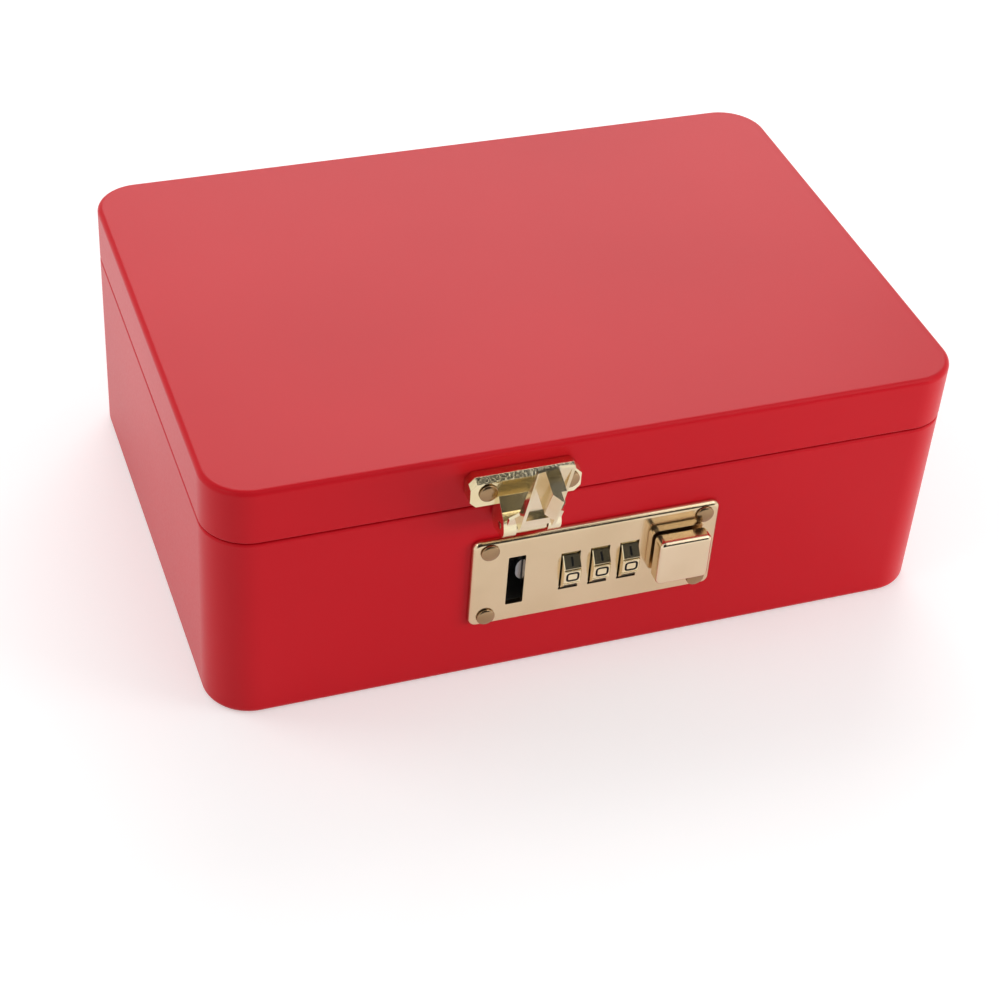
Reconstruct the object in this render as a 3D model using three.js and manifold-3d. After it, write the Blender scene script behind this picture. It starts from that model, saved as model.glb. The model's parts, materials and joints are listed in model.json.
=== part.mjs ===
// Medication lock box: a pressed steel box with a flush hinged lid, a sprung hasp on the lid and a lock
// with three number wheels on the front. Millimetres, X to the right, Y to the back, Z up, with the
// origin under the middle of the box. The lid is closed and the hasp flap is sprung open.

import * as THREE from 'three';
import { mergeVertices } from 'three/addons/utils/BufferGeometryUtils.js';
import Module from 'manifold-3d';

const wasm = await Module();
wasm.setup();

// The box and its lid
const boxWidth = 250;
const boxDepth = 175;
const boxHeight = 91;
const lidHeight = 19.8;
const sheet = 1;
const cornerRadius = 15.4;
const lidBend = 2.4;
const baseBend = 2.2;
const shoulderRound = 0.9;
const neckHeight = 7.5;
const neckClearance = 0.5;

// Fits: pieces that move past each other, pieces that rest on each other, and the overrun of a cut
const runGap = 0.3;
const seatGap = 0.2;
const overrun = 3;

// The two rear hinges
const hingeInset = 50;
const leafWidth = 30;
const leafHeight = 14;
const leafSheet = 1;
const knuckleRadius = 2.6;
const hingePinRadius = 1.2;
const middleKnuckle = 10;
const leafRivetSpread = 9;
const leafRivetRise = 11;

// Rivets: those of the rear leaves, then those of the lock plate and the hasp
const leafRivetHead = 2.6;
const leafRivetDome = 0.9;
const frontRivetHead = 3.05;
const frontRivetDome = 1.1;
const rivetShank = 1.5;
const rivetTail = 2.2;
const rivetTailHeight = 0.7;

// The lock plate, seen from the front; its centre hangs below the hasp pin
const plateDrop = 29.5;
const plateWidth = 84;
const plateHeight = 35;
const plateThickness = 2;
const plateCorner = 3.5;
const plateRound = 1.1;
const plateRivetX = 36.5;
const plateRivetY = 13.5;
const slotWidth = 5.8;
const slotHeight = 19.8;

// The number wheels, with one window each
const wheelCount = 3;
const wheelPitch = 10.07;
const wheelMiddleX = 1.25;
const wheelAxisY = -0.2;
const wheelAxisDepth = 3.4;
const wheelRadius = 9.2;
const wheelWidth = 5.8;
const windowSideGap = 0.4;
const facetCount = 10;
const facetLine = 16.5;
const grooveDepth = 0.8;
const grooveWidth = 0.7;

// The bolt shaft and the clutch sleeves
const shaftRadius = 1.3;
const finRadius = 2.3;
const finWidth = 1.1;
const finLength = 1.2;
const sleeveRadius = 3.3;
const sleeveWall = 0.7;
const sleeveLength = 7.5;
const flangeThickness = 0.8;
const keyWidth = 1.2;
const keyHeight = 0.8;

// The bolt blade, whose tip shows right of the slot's middle, and its travel to each side
const bladeShow = 0.8;
const bladeLength = 8.7;
const bladeY = 1.4;
const bladeHeight = 9;
const bladeThickness = 1.8;
const bladeDepth = 0.6;
const bladeNose = 3.5;
const tangThickness = 1.6;
const tangRim = 1;
const spigotRadius = 0.9;
const boltThrow = 1.9;
const boltDraw = 3;

// The button, its collar on the plate and its slider behind it
const buttonX = 27.5;
const buttonY = 2.2;
const collarWidth = 18.4;
const collarHeight = 17;
const collarRise = 1.3;
const collarCorner = 2.4;
const capWidth = 17.6;
const capHeight = 16.6;
const capDepth = 5.4;
const capCorner = 1.9;
const capRound = 1.5;
const capLift = 1.3;
const stemWidth = 4.4;
const stemHeight = 6.6;
const sliderWidth = 11.1;
const sliderDepth = 5;
const sliderFront = 1.2;
const sliderRim = 1.2;
const sliderFoot = 3;
const armThickness = 1.4;

// The case behind the plate, its partitions and its back cover
const caseMargin = 2;
const caseHeight = 21.8;
const caseRoom = 1.1;
const caseWall = 1;
const partitionThickness = 1.2;
const guideOffset = 5.6;
const coverThickness = 1;
const bossRadius = 2.1;
const bossInset = 2.8;
const bossLength = 6.6;
const screwRadius = 1;
const screwHead = 1.9;
const screwHeadHeight = 0.9;
const screwLength = 6;

// Springs and the code change lever
const returnWire = 0.35;
const returnRadius = 2.2;
const returnTurns = 7;
const returnRoom = 1.15;
const pegRadius = 1.3;
const pegLength = 3;
const stripThickness = 0.4;
const stripWidth = 2;
const fingerWidth = 4;
const leverOffset = 3.1;
const leverWidth = 4;
const leverHeight = 6;
const leverThickness = 1.2;
const tabWidth = 2;
const tabReach = 3.6;
const leverTravel = 2.5;

// The hasp: its pin below the lid's edge, the bracket on the lid and how far the flap springs open
const haspX = -27.1;
const pinDrop = 2.2;
const pinOut = 8;
const haspPinRadius = 1.2;
const flapOpening = 156.5;
const bracketWidth = 36;
const bracketTop = 17;
const bracketBottom = 7.5;
const bracketFront = 6.3;
const bevelDepth = 2.4;
const bevelRise = 1;
const bracketCorner = 1.8;
const bracketRivetX = 13.2;
const bracketRivetY = 12.3;
const housingTopWidth = 21.6;
const housingWidth = 18.8;
const housingStandoff = 1.2;
const lobeRadius = 3.9;
const housingReach = 11.9;
const webFront = 4.3;
const barrelOpening = 2.3;

// The housing from the side, from the ear over two creases to the lobes and back to the lid, as shares of
// the bracket's top above the pin and of the housing's reach from the wall
const housingShares = [
  [0.60, 0.50], [0.56, 0.53], [0.424, 0.723], [0.253, 0.807], [0.047, 0.945], [-0.15, 0.75],
  [-0.255, 0.40], [-0.265, 0.26],
];

// The flap, measured down from the pin and in from the front as it hangs
const neckWidth = 9.8;
const shoulderWidth = 17.6;
const shoulderStart = 5.2;
const shoulderEnd = 8.6;
const shoulderTaper = 11;
const rootEnd = 9.4;
const rootDepth = 4.5;
const stripOffset = 2.05;
const stripSheet = 0.9;
const flapWidth = 11.8;
const flapLength = 39;
const flapBulge = 1.1;
const rimWall = 1.1;
const rimHeight = 2.6;
const rimEnd = 38;
const barrelRadius = 3.3;
const barrelSides = 12;
const springWall = 1;
const stapleWidth = 4.5;
const stapleStart = 21.9;
const stapleEnd = 34.4;
const stapleReach = 11.6;
const noseLength = 2.8;
const noseChamfer = 2.4;
const noseEase = 0.8;
const pocketGap = 0.25;
const haspWire = 0.35;
const haspCoilRadius = 2;
const haspTurns = 5;

// Facets: round pieces, rivets, wires and bends
const roundSides = 20;
const rivetSides = 12;
const wireSides = 5;
const wireSteps = 8;
const cornerSteps = 8;
const bendSteps = 4;

// Sizes that follow from those above
const lidEdge = boxHeight - lidHeight;
const shoulderTop = lidEdge - runGap;
const neckInset = sheet + neckClearance;
const neckTop = shoulderTop + neckHeight;
const hingeLevel = lidEdge - runGap / 2;
const hingeSpread = boxWidth / 2 - hingeInset;
const pinLevel = lidEdge - pinDrop;
const plateLevel = pinLevel - plateDrop;
const slotX = haspX;
const bladeTipX = slotX + bladeShow;
const tangX = bladeTipX + bladeLength;
const guideX = slotX + guideOffset;
const leverX = slotX + leverOffset;
const plateFront = seatGap + plateThickness;
const collarFront = plateFront + collarRise;
const capBack = collarFront + capLift;
const sleeveBore = sleeveRadius - sleeveWall;
const wheelBore = sleeveRadius + runGap;
const caseLeft = slotX - slotWidth / 2 - caseMargin;
const caseBottom = wheelAxisY - caseHeight / 2;
const caseTop = wheelAxisY + caseHeight / 2;
const stemLeft = buttonX - stemWidth / 2;
const stemRight = buttonX + stemWidth / 2;
const caseRight = stemRight + boltDraw + runGap + caseWall;
const sliderLeft = stemRight - sliderWidth;
const sliderBack = sliderFront + sliderDepth;
const returnDepth = sliderBack + returnRoom + returnRadius + returnWire;
const deepest = Math.max(wheelAxisDepth + wheelRadius, returnDepth + returnRadius + returnWire);
const caseDepth = deepest + caseRoom;
const shaftEnd = stemLeft - 2 * runGap;
const wheelXs = Array.from({ length: wheelCount }, (_, i) => wheelMiddleX + (i - 1) * wheelPitch);
const stripInner = stripOffset + stripSheet;

// Finishes
const redPaint = new THREE.MeshStandardMaterial({ color: 0xbe1c24, roughness: 0.45, metalness: 0 });
const paleBrass = new THREE.MeshStandardMaterial({ color: 0xd4ba94, roughness: 0.12, metalness: 1 });
const warmBrass = new THREE.MeshStandardMaterial({ color: 0xd9b26a, roughness: 0.12, metalness: 1 });
const nickel = new THREE.MeshStandardMaterial({ color: 0xc9bfae, roughness: 0.25, metalness: 1 });
const zinc = new THREE.MeshStandardMaterial({ color: 0x9a9a98, roughness: 0.5, metalness: 1 });
const springSteel = new THREE.MeshStandardMaterial({ color: 0x8c8f94, roughness: 0.3, metalness: 1 });

// A closed geometry as a solid that can be joined and cut
function solidOf(geometry) {
  geometry.deleteAttribute('normal');
  geometry.deleteAttribute('uv');
  const merged = mergeVertices(geometry);
  return new wasm.Manifold(new wasm.Mesh({
    numProp: 3,
    vertProperties: new Float32Array(merged.attributes.position.array),
    triVerts: new Uint32Array(merged.index.array),
  }));
}

// A solid as a named mesh
function meshOf(name, solid, finish) {
  const built = solid.getMesh();
  const geometry = new THREE.BufferGeometry();
  geometry.setAttribute('position', new THREE.BufferAttribute(new Float32Array(built.vertProperties), 3));
  geometry.setIndex(new THREE.BufferAttribute(new Uint32Array(built.triVerts), 1));
  geometry.computeVertexNormals();
  const mesh = new THREE.Mesh(geometry, finish);
  mesh.name = name;
  return mesh;
}

function join(...solids) {
  return solids.reduce((whole, solid) => whole.add(solid));
}

function block(x0, x1, y0, y1, z0, z1) {
  const geometry = new THREE.BoxGeometry(x1 - x0, y1 - y0, z1 - z0);
  geometry.translate((x0 + x1) / 2, (y0 + y1) / 2, (z0 + z1) / 2);
  return solidOf(geometry);
}

// A round bar along one axis, with the other two coordinates of its centre line in order
function rod(axis, radius, from, to, [first, second], sides = roundSides) {
  const geometry = new THREE.CylinderGeometry(radius, radius, to - from, sides);
  const middle = (from + to) / 2;
  if (axis === 'x') {
    geometry.rotateZ(Math.PI / 2);
    geometry.translate(middle, first, second);
  } else if (axis === 'y') {
    geometry.translate(first, middle, second);
  } else {
    geometry.rotateX(Math.PI / 2);
    geometry.translate(first, second, middle);
  }
  return solidOf(geometry);
}

// An outline in X and Y carried along Z
function slab(points, z0, z1) {
  const shape = new THREE.Shape(points.map(([x, y]) => new THREE.Vector2(x, y)));
  const geometry = new THREE.ExtrudeGeometry(shape, { depth: z1 - z0, bevelEnabled: false });
  geometry.translate(0, 0, z0);
  return solidOf(geometry);
}

// A side outline in Y and Z carried along X
function sideSlab(points, x0, x1) {
  const shape = new THREE.Shape(points.map(([y, z]) => new THREE.Vector2(y, z)));
  const geometry = new THREE.ExtrudeGeometry(shape, { depth: x1 - x0, bevelEnabled: false });
  geometry.applyMatrix4(new THREE.Matrix4().set(0, 0, 1, x0, 1, 0, 0, 0, 0, 1, 0, 0, 0, 0, 0, 1));
  return solidOf(geometry);
}

// An outline in Z and X carried along Y
function levelSlab(points, y0, y1) {
  const shape = new THREE.Shape(points.map(([z, x]) => new THREE.Vector2(z, x)));
  const geometry = new THREE.ExtrudeGeometry(shape, { depth: y1 - y0, bevelEnabled: false });
  geometry.applyMatrix4(new THREE.Matrix4().set(0, 1, 0, 0, 0, 0, 1, y0, 1, 0, 0, 0, 0, 0, 0, 1));
  return solidOf(geometry);
}

// Points of a rounded rectangle about (x, y), counter-clockwise seen from above
function roundedOutline(width, depth, radius, x = 0, y = 0) {
  const points = [];
  for (let quarter = 0; quarter < 4; quarter += 1) {
    const diagonal = (quarter + 1 / 2) * Math.PI / 2;
    const centreX = x + Math.sign(Math.cos(diagonal)) * (width / 2 - radius);
    const centreY = y + Math.sign(Math.sin(diagonal)) * (depth / 2 - radius);
    for (let step = 0; step <= cornerSteps; step += 1) {
      const angle = (quarter + step / cornerSteps) * Math.PI / 2;
      points.push([centreX + radius * Math.cos(angle), centreY + radius * Math.sin(angle)]);
    }
  }
  return points;
}

// A quarter bend of a wall as pairs of inset and level, from one angle in degrees to another
function bend(inset, level, radius, from, to) {
  return Array.from({ length: bendSteps + 1 }, (_, step) => {
    const angle = THREE.MathUtils.degToRad(from + (to - from) * step / bendSteps);
    return [inset - radius * Math.cos(angle), level + radius * Math.sin(angle)];
  });
}

// Rounded rectangles stacked by pairs of inset and level, joined side to side and closed at both ends
function stacked(width, depth, radius, profile, x = 0, y = 0) {
  const rings = profile.map(([inset, level]) => roundedOutline(
    width - 2 * inset, depth - 2 * inset, radius - inset, x, y,
  ).map((point) => [...point, level]));
  const count = rings[0].length;
  const points = [...rings.flat(), [x, y, profile[0][1]], [x, y, profile[profile.length - 1][1]]];
  const faces = [];
  const top = (rings.length - 1) * count;
  for (let i = 0; i < count; i += 1) {
    const next = (i + 1) % count;
    for (let ring = 0; ring < top; ring += count) {
      faces.push(ring + i, ring + next, ring + next + count);
      faces.push(ring + i, ring + next + count, ring + i + count);
    }
    faces.push(points.length - 2, next, i);
    faces.push(points.length - 1, top + i, top + next);
  }
  const geometry = new THREE.BufferGeometry();
  geometry.setAttribute('position', new THREE.Float32BufferAttribute(points.flat(), 3));
  geometry.setIndex(faces);
  return solidOf(geometry);
}

// A profile of radius and height turned about Z, from its lowest point to its highest
function turned(profile, sides) {
  const geometry = new THREE.LatheGeometry(profile.map(([r, h]) => new THREE.Vector2(r, h)), sides);
  geometry.rotateX(Math.PI / 2);
  return solidOf(geometry);
}

// A wire bent along a curve
function wire(curve, radius, steps) {
  const section = Array.from({ length: wireSides }, (_, i) => new THREE.Vector2(
    radius * Math.cos(i / wireSides * 2 * Math.PI),
    radius * Math.sin(i / wireSides * 2 * Math.PI),
  ));
  return solidOf(new THREE.ExtrudeGeometry(new THREE.Shape(section), {
    steps,
    bevelEnabled: false,
    extrudePath: curve,
  }));
}

// A coil about X that starts at the origin's plane
class Coil extends THREE.Curve {
  constructor(radius, length, turns) {
    super();
    this.radius = radius;
    this.length = length;
    this.turns = turns;
  }

  getPoint(t, target = new THREE.Vector3()) {
    const angle = t * this.turns * 2 * Math.PI;
    return target.set(t * this.length, this.radius * Math.cos(angle), this.radius * Math.sin(angle));
  }
}

// A rivet along Z: its head seats on z = 0 and its tail closes behind the grip
function rivet(name, head, dome, grip, x, y) {
  const hood = Array.from({ length: bendSteps + 1 }, (_, step) => {
    const angle = step / bendSteps * Math.PI / 2;
    return [head * Math.cos(angle), dome * Math.sin(angle)];
  });
  hood[bendSteps][0] = 0;
  const profile = [
    [0, -grip - rivetTailHeight],
    [rivetTail, -grip - rivetTailHeight],
    [rivetTail, -grip],
    [rivetShank, -grip],
    [rivetShank, 0],
    ...hood,
  ];
  const mesh = meshOf(name, turned(profile, rivetSides), nickel);
  mesh.position.set(x, y, 0);
  return mesh;
}

// The lid: a tray with a bent rim, open below
function lidShell() {
  const inner = lidBend - sheet;
  const tray = stacked(boxWidth, boxDepth, cornerRadius, [
    ...bend(lidBend, boxHeight - lidBend, inner, 90, 0),
    [sheet, lidEdge],
    [0, lidEdge],
    ...bend(lidBend, boxHeight - lidBend, lidBend, 0, 90),
  ]);
  const holes = [-1, 1].flatMap((side) => [
    rod('y', rivetShank + runGap, -boxDepth / 2 - overrun, -boxDepth / 2 + overrun,
      [haspX + side * bracketRivetX, pinLevel + bracketRivetY], rivetSides),
    ...leafHoles(side * hingeSpread, hingeLevel + leafRivetRise),
  ]);
  return meshOf('lid_shell', tray.subtract(join(...holes)), redPaint);
}

// The base: a tray whose wall steps in at a rounded shoulder to a neck inside the lid
function baseShell() {
  const inner = baseBend - sheet;
  const tray = stacked(boxWidth, boxDepth, cornerRadius, [
    ...bend(baseBend, baseBend, baseBend, -90, 0),
    ...bend(shoulderRound, shoulderTop - shoulderRound, shoulderRound, 0, 90),
    [neckInset, shoulderTop],
    [neckInset, neckTop],
    [neckInset + sheet, neckTop],
    [neckInset + sheet, shoulderTop - sheet],
    [sheet, shoulderTop - 2 * sheet],
    ...bend(baseBend, baseBend, inner, 0, -90),
  ]);
  const wall = [-boxDepth / 2 - overrun, -boxDepth / 2 + overrun];
  const holes = [-1, 1].flatMap((side) => [
    ...[-1, 1].map((rise) => rod('y', rivetShank + runGap, ...wall,
      [side * plateRivetX, plateLevel + rise * plateRivetY], rivetSides)),
    ...leafHoles(side * hingeSpread, hingeLevel - leafRivetRise),
  ]);
  const aperture = block(caseLeft - runGap, caseRight + runGap, ...wall,
    plateLevel + caseBottom - runGap, plateLevel + caseTop + runGap);
  return meshOf('base_shell', tray.subtract(join(aperture, ...holes)), redPaint);
}

// The two rivet holes of a rear leaf, through the back wall
function leafHoles(x, z) {
  return [-1, 1].map((side) => rod('y', rivetShank + runGap, boxDepth / 2 - overrun,
    boxDepth / 2 + overrun, [x + side * leafRivetSpread, z], rivetSides));
}

// One leaf about the hinge pin, rising from it by the wall at y = 0; which knuckles it carries differs
function hingeLeaf(name, middle) {
  const inner = middleKnuckle / 2;
  const outer = leafWidth / 2;
  const spans = middle
    ? [[-inner + runGap / 2, inner - runGap / 2]]
    : [[-outer, -inner - runGap / 2], [inner + runGap / 2, outer]];
  const axis = [seatGap + knuckleRadius, 0];
  const face = seatGap + leafSheet;
  const plate = block(-outer, outer, seatGap, face, knuckleRadius + runGap, leafHeight);
  const knuckles = spans.flatMap(([from, to]) => [
    rod('x', knuckleRadius, from, to, axis),
    block(from, to, seatGap, face, 0, knuckleRadius + 2 * runGap),
  ]);
  const cuts = [
    rod('x', hingePinRadius + seatGap, -outer - overrun, outer + overrun, axis, rivetSides),
    ...[-1, 1].map((side) => rod('y', rivetShank + runGap, -overrun, overrun,
      [side * leafRivetSpread, leafRivetRise], rivetSides)),
  ];
  return meshOf(name, join(plate, ...knuckles).subtract(join(...cuts)), redPaint);
}

function leafRivets(prefix, first) {
  const grip = 3 * seatGap + leafSheet + sheet;
  return [-1, 1].map((side, i) => {
    const mesh = rivet(`${prefix}_${first + i}`, leafRivetHead, leafRivetDome, grip, 0, 0);
    mesh.rotation.x = -Math.PI / 2;
    mesh.position.set(side * leafRivetSpread, 2 * seatGap + leafSheet, leafRivetRise);
    return mesh;
  });
}

// A rear hinge: the base half is a lid half with other knuckles, turned half round to hang down
function rearHinge(side, index) {
  const label = side < 0 ? 'left' : 'right';
  const lidHalf = new THREE.Group();
  lidHalf.add(hingeLeaf(`hinge_lid_leaf_${label}`, true), ...leafRivets('lid_leaf_rivet', index));
  const baseHalf = new THREE.Group();
  baseHalf.add(hingeLeaf(`hinge_base_leaf_${label}`, false), ...leafRivets('base_leaf_rivet', index));
  baseHalf.rotation.y = Math.PI;
  const pin = meshOf(`hinge_pin_${label}`, rod('x', hingePinRadius, -leafWidth / 2, leafWidth / 2,
    [seatGap + knuckleRadius, 0], rivetSides), nickel);
  const hinge = new THREE.Group();
  hinge.add(lidHalf, baseHalf, pin);
  hinge.position.set(side * hingeSpread, boxDepth / 2, hingeLevel);
  return hinge;
}

// The lock plate with its collar; each window is the wheel's own circle grown by the running gap
function lockPlate() {
  const round = bend(plateRound, plateFront - plateRound, plateRound, 0, 90);
  const plate = stacked(plateWidth, plateHeight, plateCorner, [[0, seatGap], ...round]);
  const collar = slab(roundedOutline(collarWidth, collarHeight, collarCorner, buttonX, buttonY),
    plateFront - plateRound, collarFront);
  const windows = wheelXs.map((x) => rod('x', wheelRadius + runGap,
    x - wheelWidth / 2 - windowSideGap, x + wheelWidth / 2 + windowSideGap,
    [wheelAxisY, -wheelAxisDepth], 2 * roundSides));
  const slot = block(slotX - slotWidth / 2, slotX + slotWidth / 2,
    wheelAxisY - slotHeight / 2, wheelAxisY + slotHeight / 2, -overrun, plateFront + overrun);
  const stemSlot = block(stemLeft - boltThrow - runGap, stemRight + boltDraw + runGap,
    buttonY - stemHeight / 2 - runGap, buttonY + stemHeight / 2 + runGap, -overrun, collarFront + overrun);
  const holes = frontHoles(plateRivetX, plateRivetY);
  return meshOf('lock_plate', plate.add(collar).subtract(join(slot, stemSlot, ...windows, ...holes)),
    paleBrass);
}

// Four rivet holes at the corners of the plate
function frontHoles(x, y) {
  return [-1, 1].flatMap((sideX) => [-1, 1].map((sideY) => rod('z', rivetShank + runGap,
    -overrun, plateFront + overrun, [sideX * x, sideY * y], rivetSides)));
}

function lockRivets() {
  const grip = plateThickness + sheet + 3 * seatGap;
  return [-1, 1].flatMap((sideX) => [-1, 1].map((sideY) => {
    const name = `lock_rivet_${(sideX + 1) + (sideY + 1) / 2 + 1}`;
    const mesh = rivet(name, frontRivetHead, frontRivetDome, grip, sideX * plateRivetX, sideY * plateRivetY);
    mesh.position.z = plateFront + seatGap;
    return mesh;
  }));
}

// The case: four walls, two partitions that carry the shaft in open slots, and the blade's guide web
function lockCase() {
  const shell = block(caseLeft, caseRight, caseBottom, caseTop, -caseDepth, 0).subtract(
    block(caseLeft + caseWall, caseRight - caseWall, caseBottom + caseWall, caseTop - caseWall,
      -caseDepth - overrun, overrun),
  );
  const webs = wheelXs.slice(1).map((x) => x - wheelPitch / 2 - partitionThickness / 2);
  const partitions = [guideX, ...webs].map((x) => block(x, x + partitionThickness,
    caseBottom + caseWall / 2, caseTop - caseWall / 2, -caseDepth, 0));
  const first = webs[0] - overrun;
  const shaftSlot = join(
    rod('x', shaftRadius + runGap, first, sliderLeft, [wheelAxisY, -wheelAxisDepth]),
    block(first, sliderLeft, wheelAxisY - shaftRadius - runGap, wheelAxisY + shaftRadius + runGap,
      -caseDepth - overrun, -wheelAxisDepth),
  );
  const stripNotch = block(first, sliderLeft, caseBottom + caseWall,
    caseBottom + caseWall + stripWidth + 2 * runGap, -caseDepth - overrun,
    -caseDepth + stripThickness + seatGap + runGap);
  const bladeSlot = block(guideX - overrun, guideX + overrun, bladeY - bladeHeight / 2 - runGap,
    bladeY + bladeHeight / 2 + runGap, -bladeDepth - bladeThickness - runGap, -bladeDepth + runGap);
  const bosses = coverScrewPlaces().map((place) => rod('z', bossRadius, -caseDepth,
    -caseDepth + bossLength, place, rivetSides));
  const drills = coverScrewPlaces().map((place) => rod('z', screwRadius + seatGap,
    -caseDepth - overrun, -caseDepth + bossLength + overrun, place, rivetSides));
  const whole = join(shell, ...partitions, ...bosses);
  return meshOf('lock_case', whole.subtract(join(shaftSlot, stripNotch, bladeSlot, ...drills)), zinc);
}

function coverScrewPlaces() {
  return [caseLeft + bossInset, caseRight - bossInset].flatMap((x) => [
    [x, caseBottom + bossInset],
    [x, caseTop - bossInset],
  ]);
}

// The back cover, with holes for its screws and a slot for the lever's tab
function lockBackCover() {
  const back = -caseDepth - seatGap;
  const plate = block(caseLeft + seatGap, caseRight - seatGap, caseBottom + seatGap, caseTop - seatGap,
    back - coverThickness, back);
  const drills = coverScrewPlaces().map((place) => rod('z', screwRadius + seatGap,
    back - overrun, back + overrun, place, rivetSides));
  const slot = block(leverX - tabWidth / 2 - runGap, leverX + tabWidth / 2 + runGap,
    -tabWidth / 2 - runGap, tabWidth / 2 + leverTravel + runGap, back - overrun, back + overrun);
  return meshOf('lock_back_cover', plate.subtract(join(slot, ...drills)), zinc);
}

function coverScrews() {
  const seat = -caseDepth - 2 * seatGap - coverThickness;
  return coverScrewPlaces().map(([x, y], i) => {
    const profile = [
      [0, -screwHeadHeight],
      [screwHead, -screwHeadHeight],
      [screwHead, 0],
      [screwRadius, 0],
      [screwRadius, screwLength],
      [0, screwLength],
    ];
    const mesh = meshOf(`cover_screw_${i + 1}`, turned(profile, rivetSides), springSteel);
    mesh.position.set(x, y, seat);
    return mesh;
  });
}

// A number wheel about X: a drum of flat facets with a groove between each two and a keyed bore
function numberWheel(x, index) {
  const half = Math.PI / facetCount;
  const start = THREE.MathUtils.degToRad(facetLine);
  const outline = Array.from({ length: facetCount }, (_, i) => {
    const angle = start + 2 * i * half;
    return [wheelRadius * Math.sin(angle), wheelRadius * Math.cos(angle)];
  });
  const drum = sideSlab(outline, -wheelWidth / 2, wheelWidth / 2);
  const grooves = outline.map((_, i) => {
    const geometry = new THREE.BoxGeometry(wheelWidth + overrun, grooveWidth, 2 * grooveDepth);
    geometry.translate(0, 0, wheelRadius);
    geometry.rotateX(-start - 2 * i * half);
    return solidOf(geometry);
  });
  const bore = rod('x', wheelBore, -wheelWidth, wheelWidth, [0, 0]);
  const keyway = block(-wheelWidth, wheelWidth, -keyWidth / 2 - seatGap, keyWidth / 2 + seatGap,
    0, sleeveRadius + keyHeight + seatGap);
  const mesh = meshOf(`number_wheel_${index}`, drum.subtract(join(bore, keyway, ...grooves)), warmBrass);
  mesh.position.set(x, wheelAxisY, -wheelAxisDepth);
  return mesh;
}

// A clutch sleeve: a keyed tube with a flange inside it that has one gate for the shaft's fin
function clutchSleeve(x, index) {
  const tube = rod('x', sleeveRadius, -sleeveLength / 2, sleeveLength / 2, [0, 0]);
  const key = block(-wheelWidth / 2, wheelWidth / 2, -keyWidth / 2, keyWidth / 2,
    sleeveBore, sleeveRadius + keyHeight);
  const bore = rod('x', sleeveBore, -sleeveLength, sleeveLength, [0, 0]);
  const flange = rod('x', sleeveRadius - sleeveWall / 2, -flangeThickness / 2, flangeThickness / 2, [0, 0]);
  const hole = rod('x', shaftRadius + runGap, -sleeveLength, sleeveLength, [0, 0]);
  const gate = block(-sleeveLength, sleeveLength, -finWidth / 2 - runGap, finWidth / 2 + runGap,
    -sleeveBore, 0);
  const body = tube.add(key).subtract(bore).add(flange).subtract(hole.add(gate));
  const mesh = meshOf(`clutch_sleeve_${index}`, body, zinc);
  mesh.position.set(x, wheelAxisY, -wheelAxisDepth);
  return mesh;
}

// The bolt shaft: its three fins stand left of the flanges and pass their gates as the bolt is drawn
function boltShaft() {
  const tangRight = tangX + tangThickness;
  const bar = rod('x', shaftRadius, tangRight + seatGap, shaftEnd, [0, 0]);
  const spigot = rod('x', spigotRadius, tangX - seatGap, tangRight + 2 * seatGap, [0, 0], rivetSides);
  const fins = wheelXs.map((x) => {
    const right = x - flangeThickness / 2 - runGap;
    return block(right - finLength, right, -finWidth / 2, finWidth / 2, -finRadius, 0);
  });
  const mesh = meshOf('bolt_shaft', join(bar, spigot, ...fins), springSteel);
  mesh.position.set(0, wheelAxisY, -wheelAxisDepth);
  return mesh;
}

// The bolt blade: a flat bar with a rounded nose and a tang that the shaft's spigot passes through
function boltBlade() {
  const low = bladeY - bladeHeight / 2;
  const nose = roundedOutline(4 * bladeNose, bladeHeight, bladeNose, bladeTipX + 2 * bladeNose, bladeY)
    .filter(([x]) => x < bladeTipX + 1.5 * bladeNose);
  const outline = [[tangX + tangThickness, low + bladeHeight], ...nose, [tangX + tangThickness, low]];
  const back = -bladeDepth - bladeThickness;
  const eye = shaftRadius + tangRim;
  const tang = block(tangX, tangX + tangThickness, wheelAxisY - eye, wheelAxisY + eye,
    -wheelAxisDepth - eye, -bladeDepth - bladeThickness / 2);
  const hole = rod('x', spigotRadius + seatGap, tangX - overrun, tangX + overrun,
    [wheelAxisY, -wheelAxisDepth], rivetSides);
  return meshOf('bolt_blade', slab(outline, back, -bladeDepth).add(tang).subtract(hole), springSteel);
}

// The slider: it grips the button's stem and the shaft's end, and its arm carries the spring's peg
function buttonSlider() {
  const stemLow = buttonY - stemHeight / 2;
  const stemHigh = buttonY + stemHeight / 2;
  const body = block(sliderLeft, stemRight, stemLow - sliderFoot, stemHigh + sliderRim,
    -sliderBack, -sliderFront);
  const arm = block(sliderLeft, sliderLeft + armThickness, stemLow - sliderFoot + runGap, buttonY,
    -returnDepth - pegRadius - sliderRim, -sliderBack + overrun);
  const peg = rod('x', pegRadius, sliderLeft + armThickness / 2, sliderLeft + armThickness + pegLength,
    [wheelAxisY, -returnDepth], rivetSides);
  const socket = block(stemLeft - seatGap, stemRight + overrun, stemLow - seatGap, stemHigh + seatGap,
    -sliderBack - overrun / 2, 0);
  const bore = rod('x', shaftRadius + seatGap, sliderLeft - overrun, stemLeft,
    [wheelAxisY, -wheelAxisDepth]);
  return meshOf('button_slider', join(body, arm, peg).subtract(join(socket, bore)), zinc);
}

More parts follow.
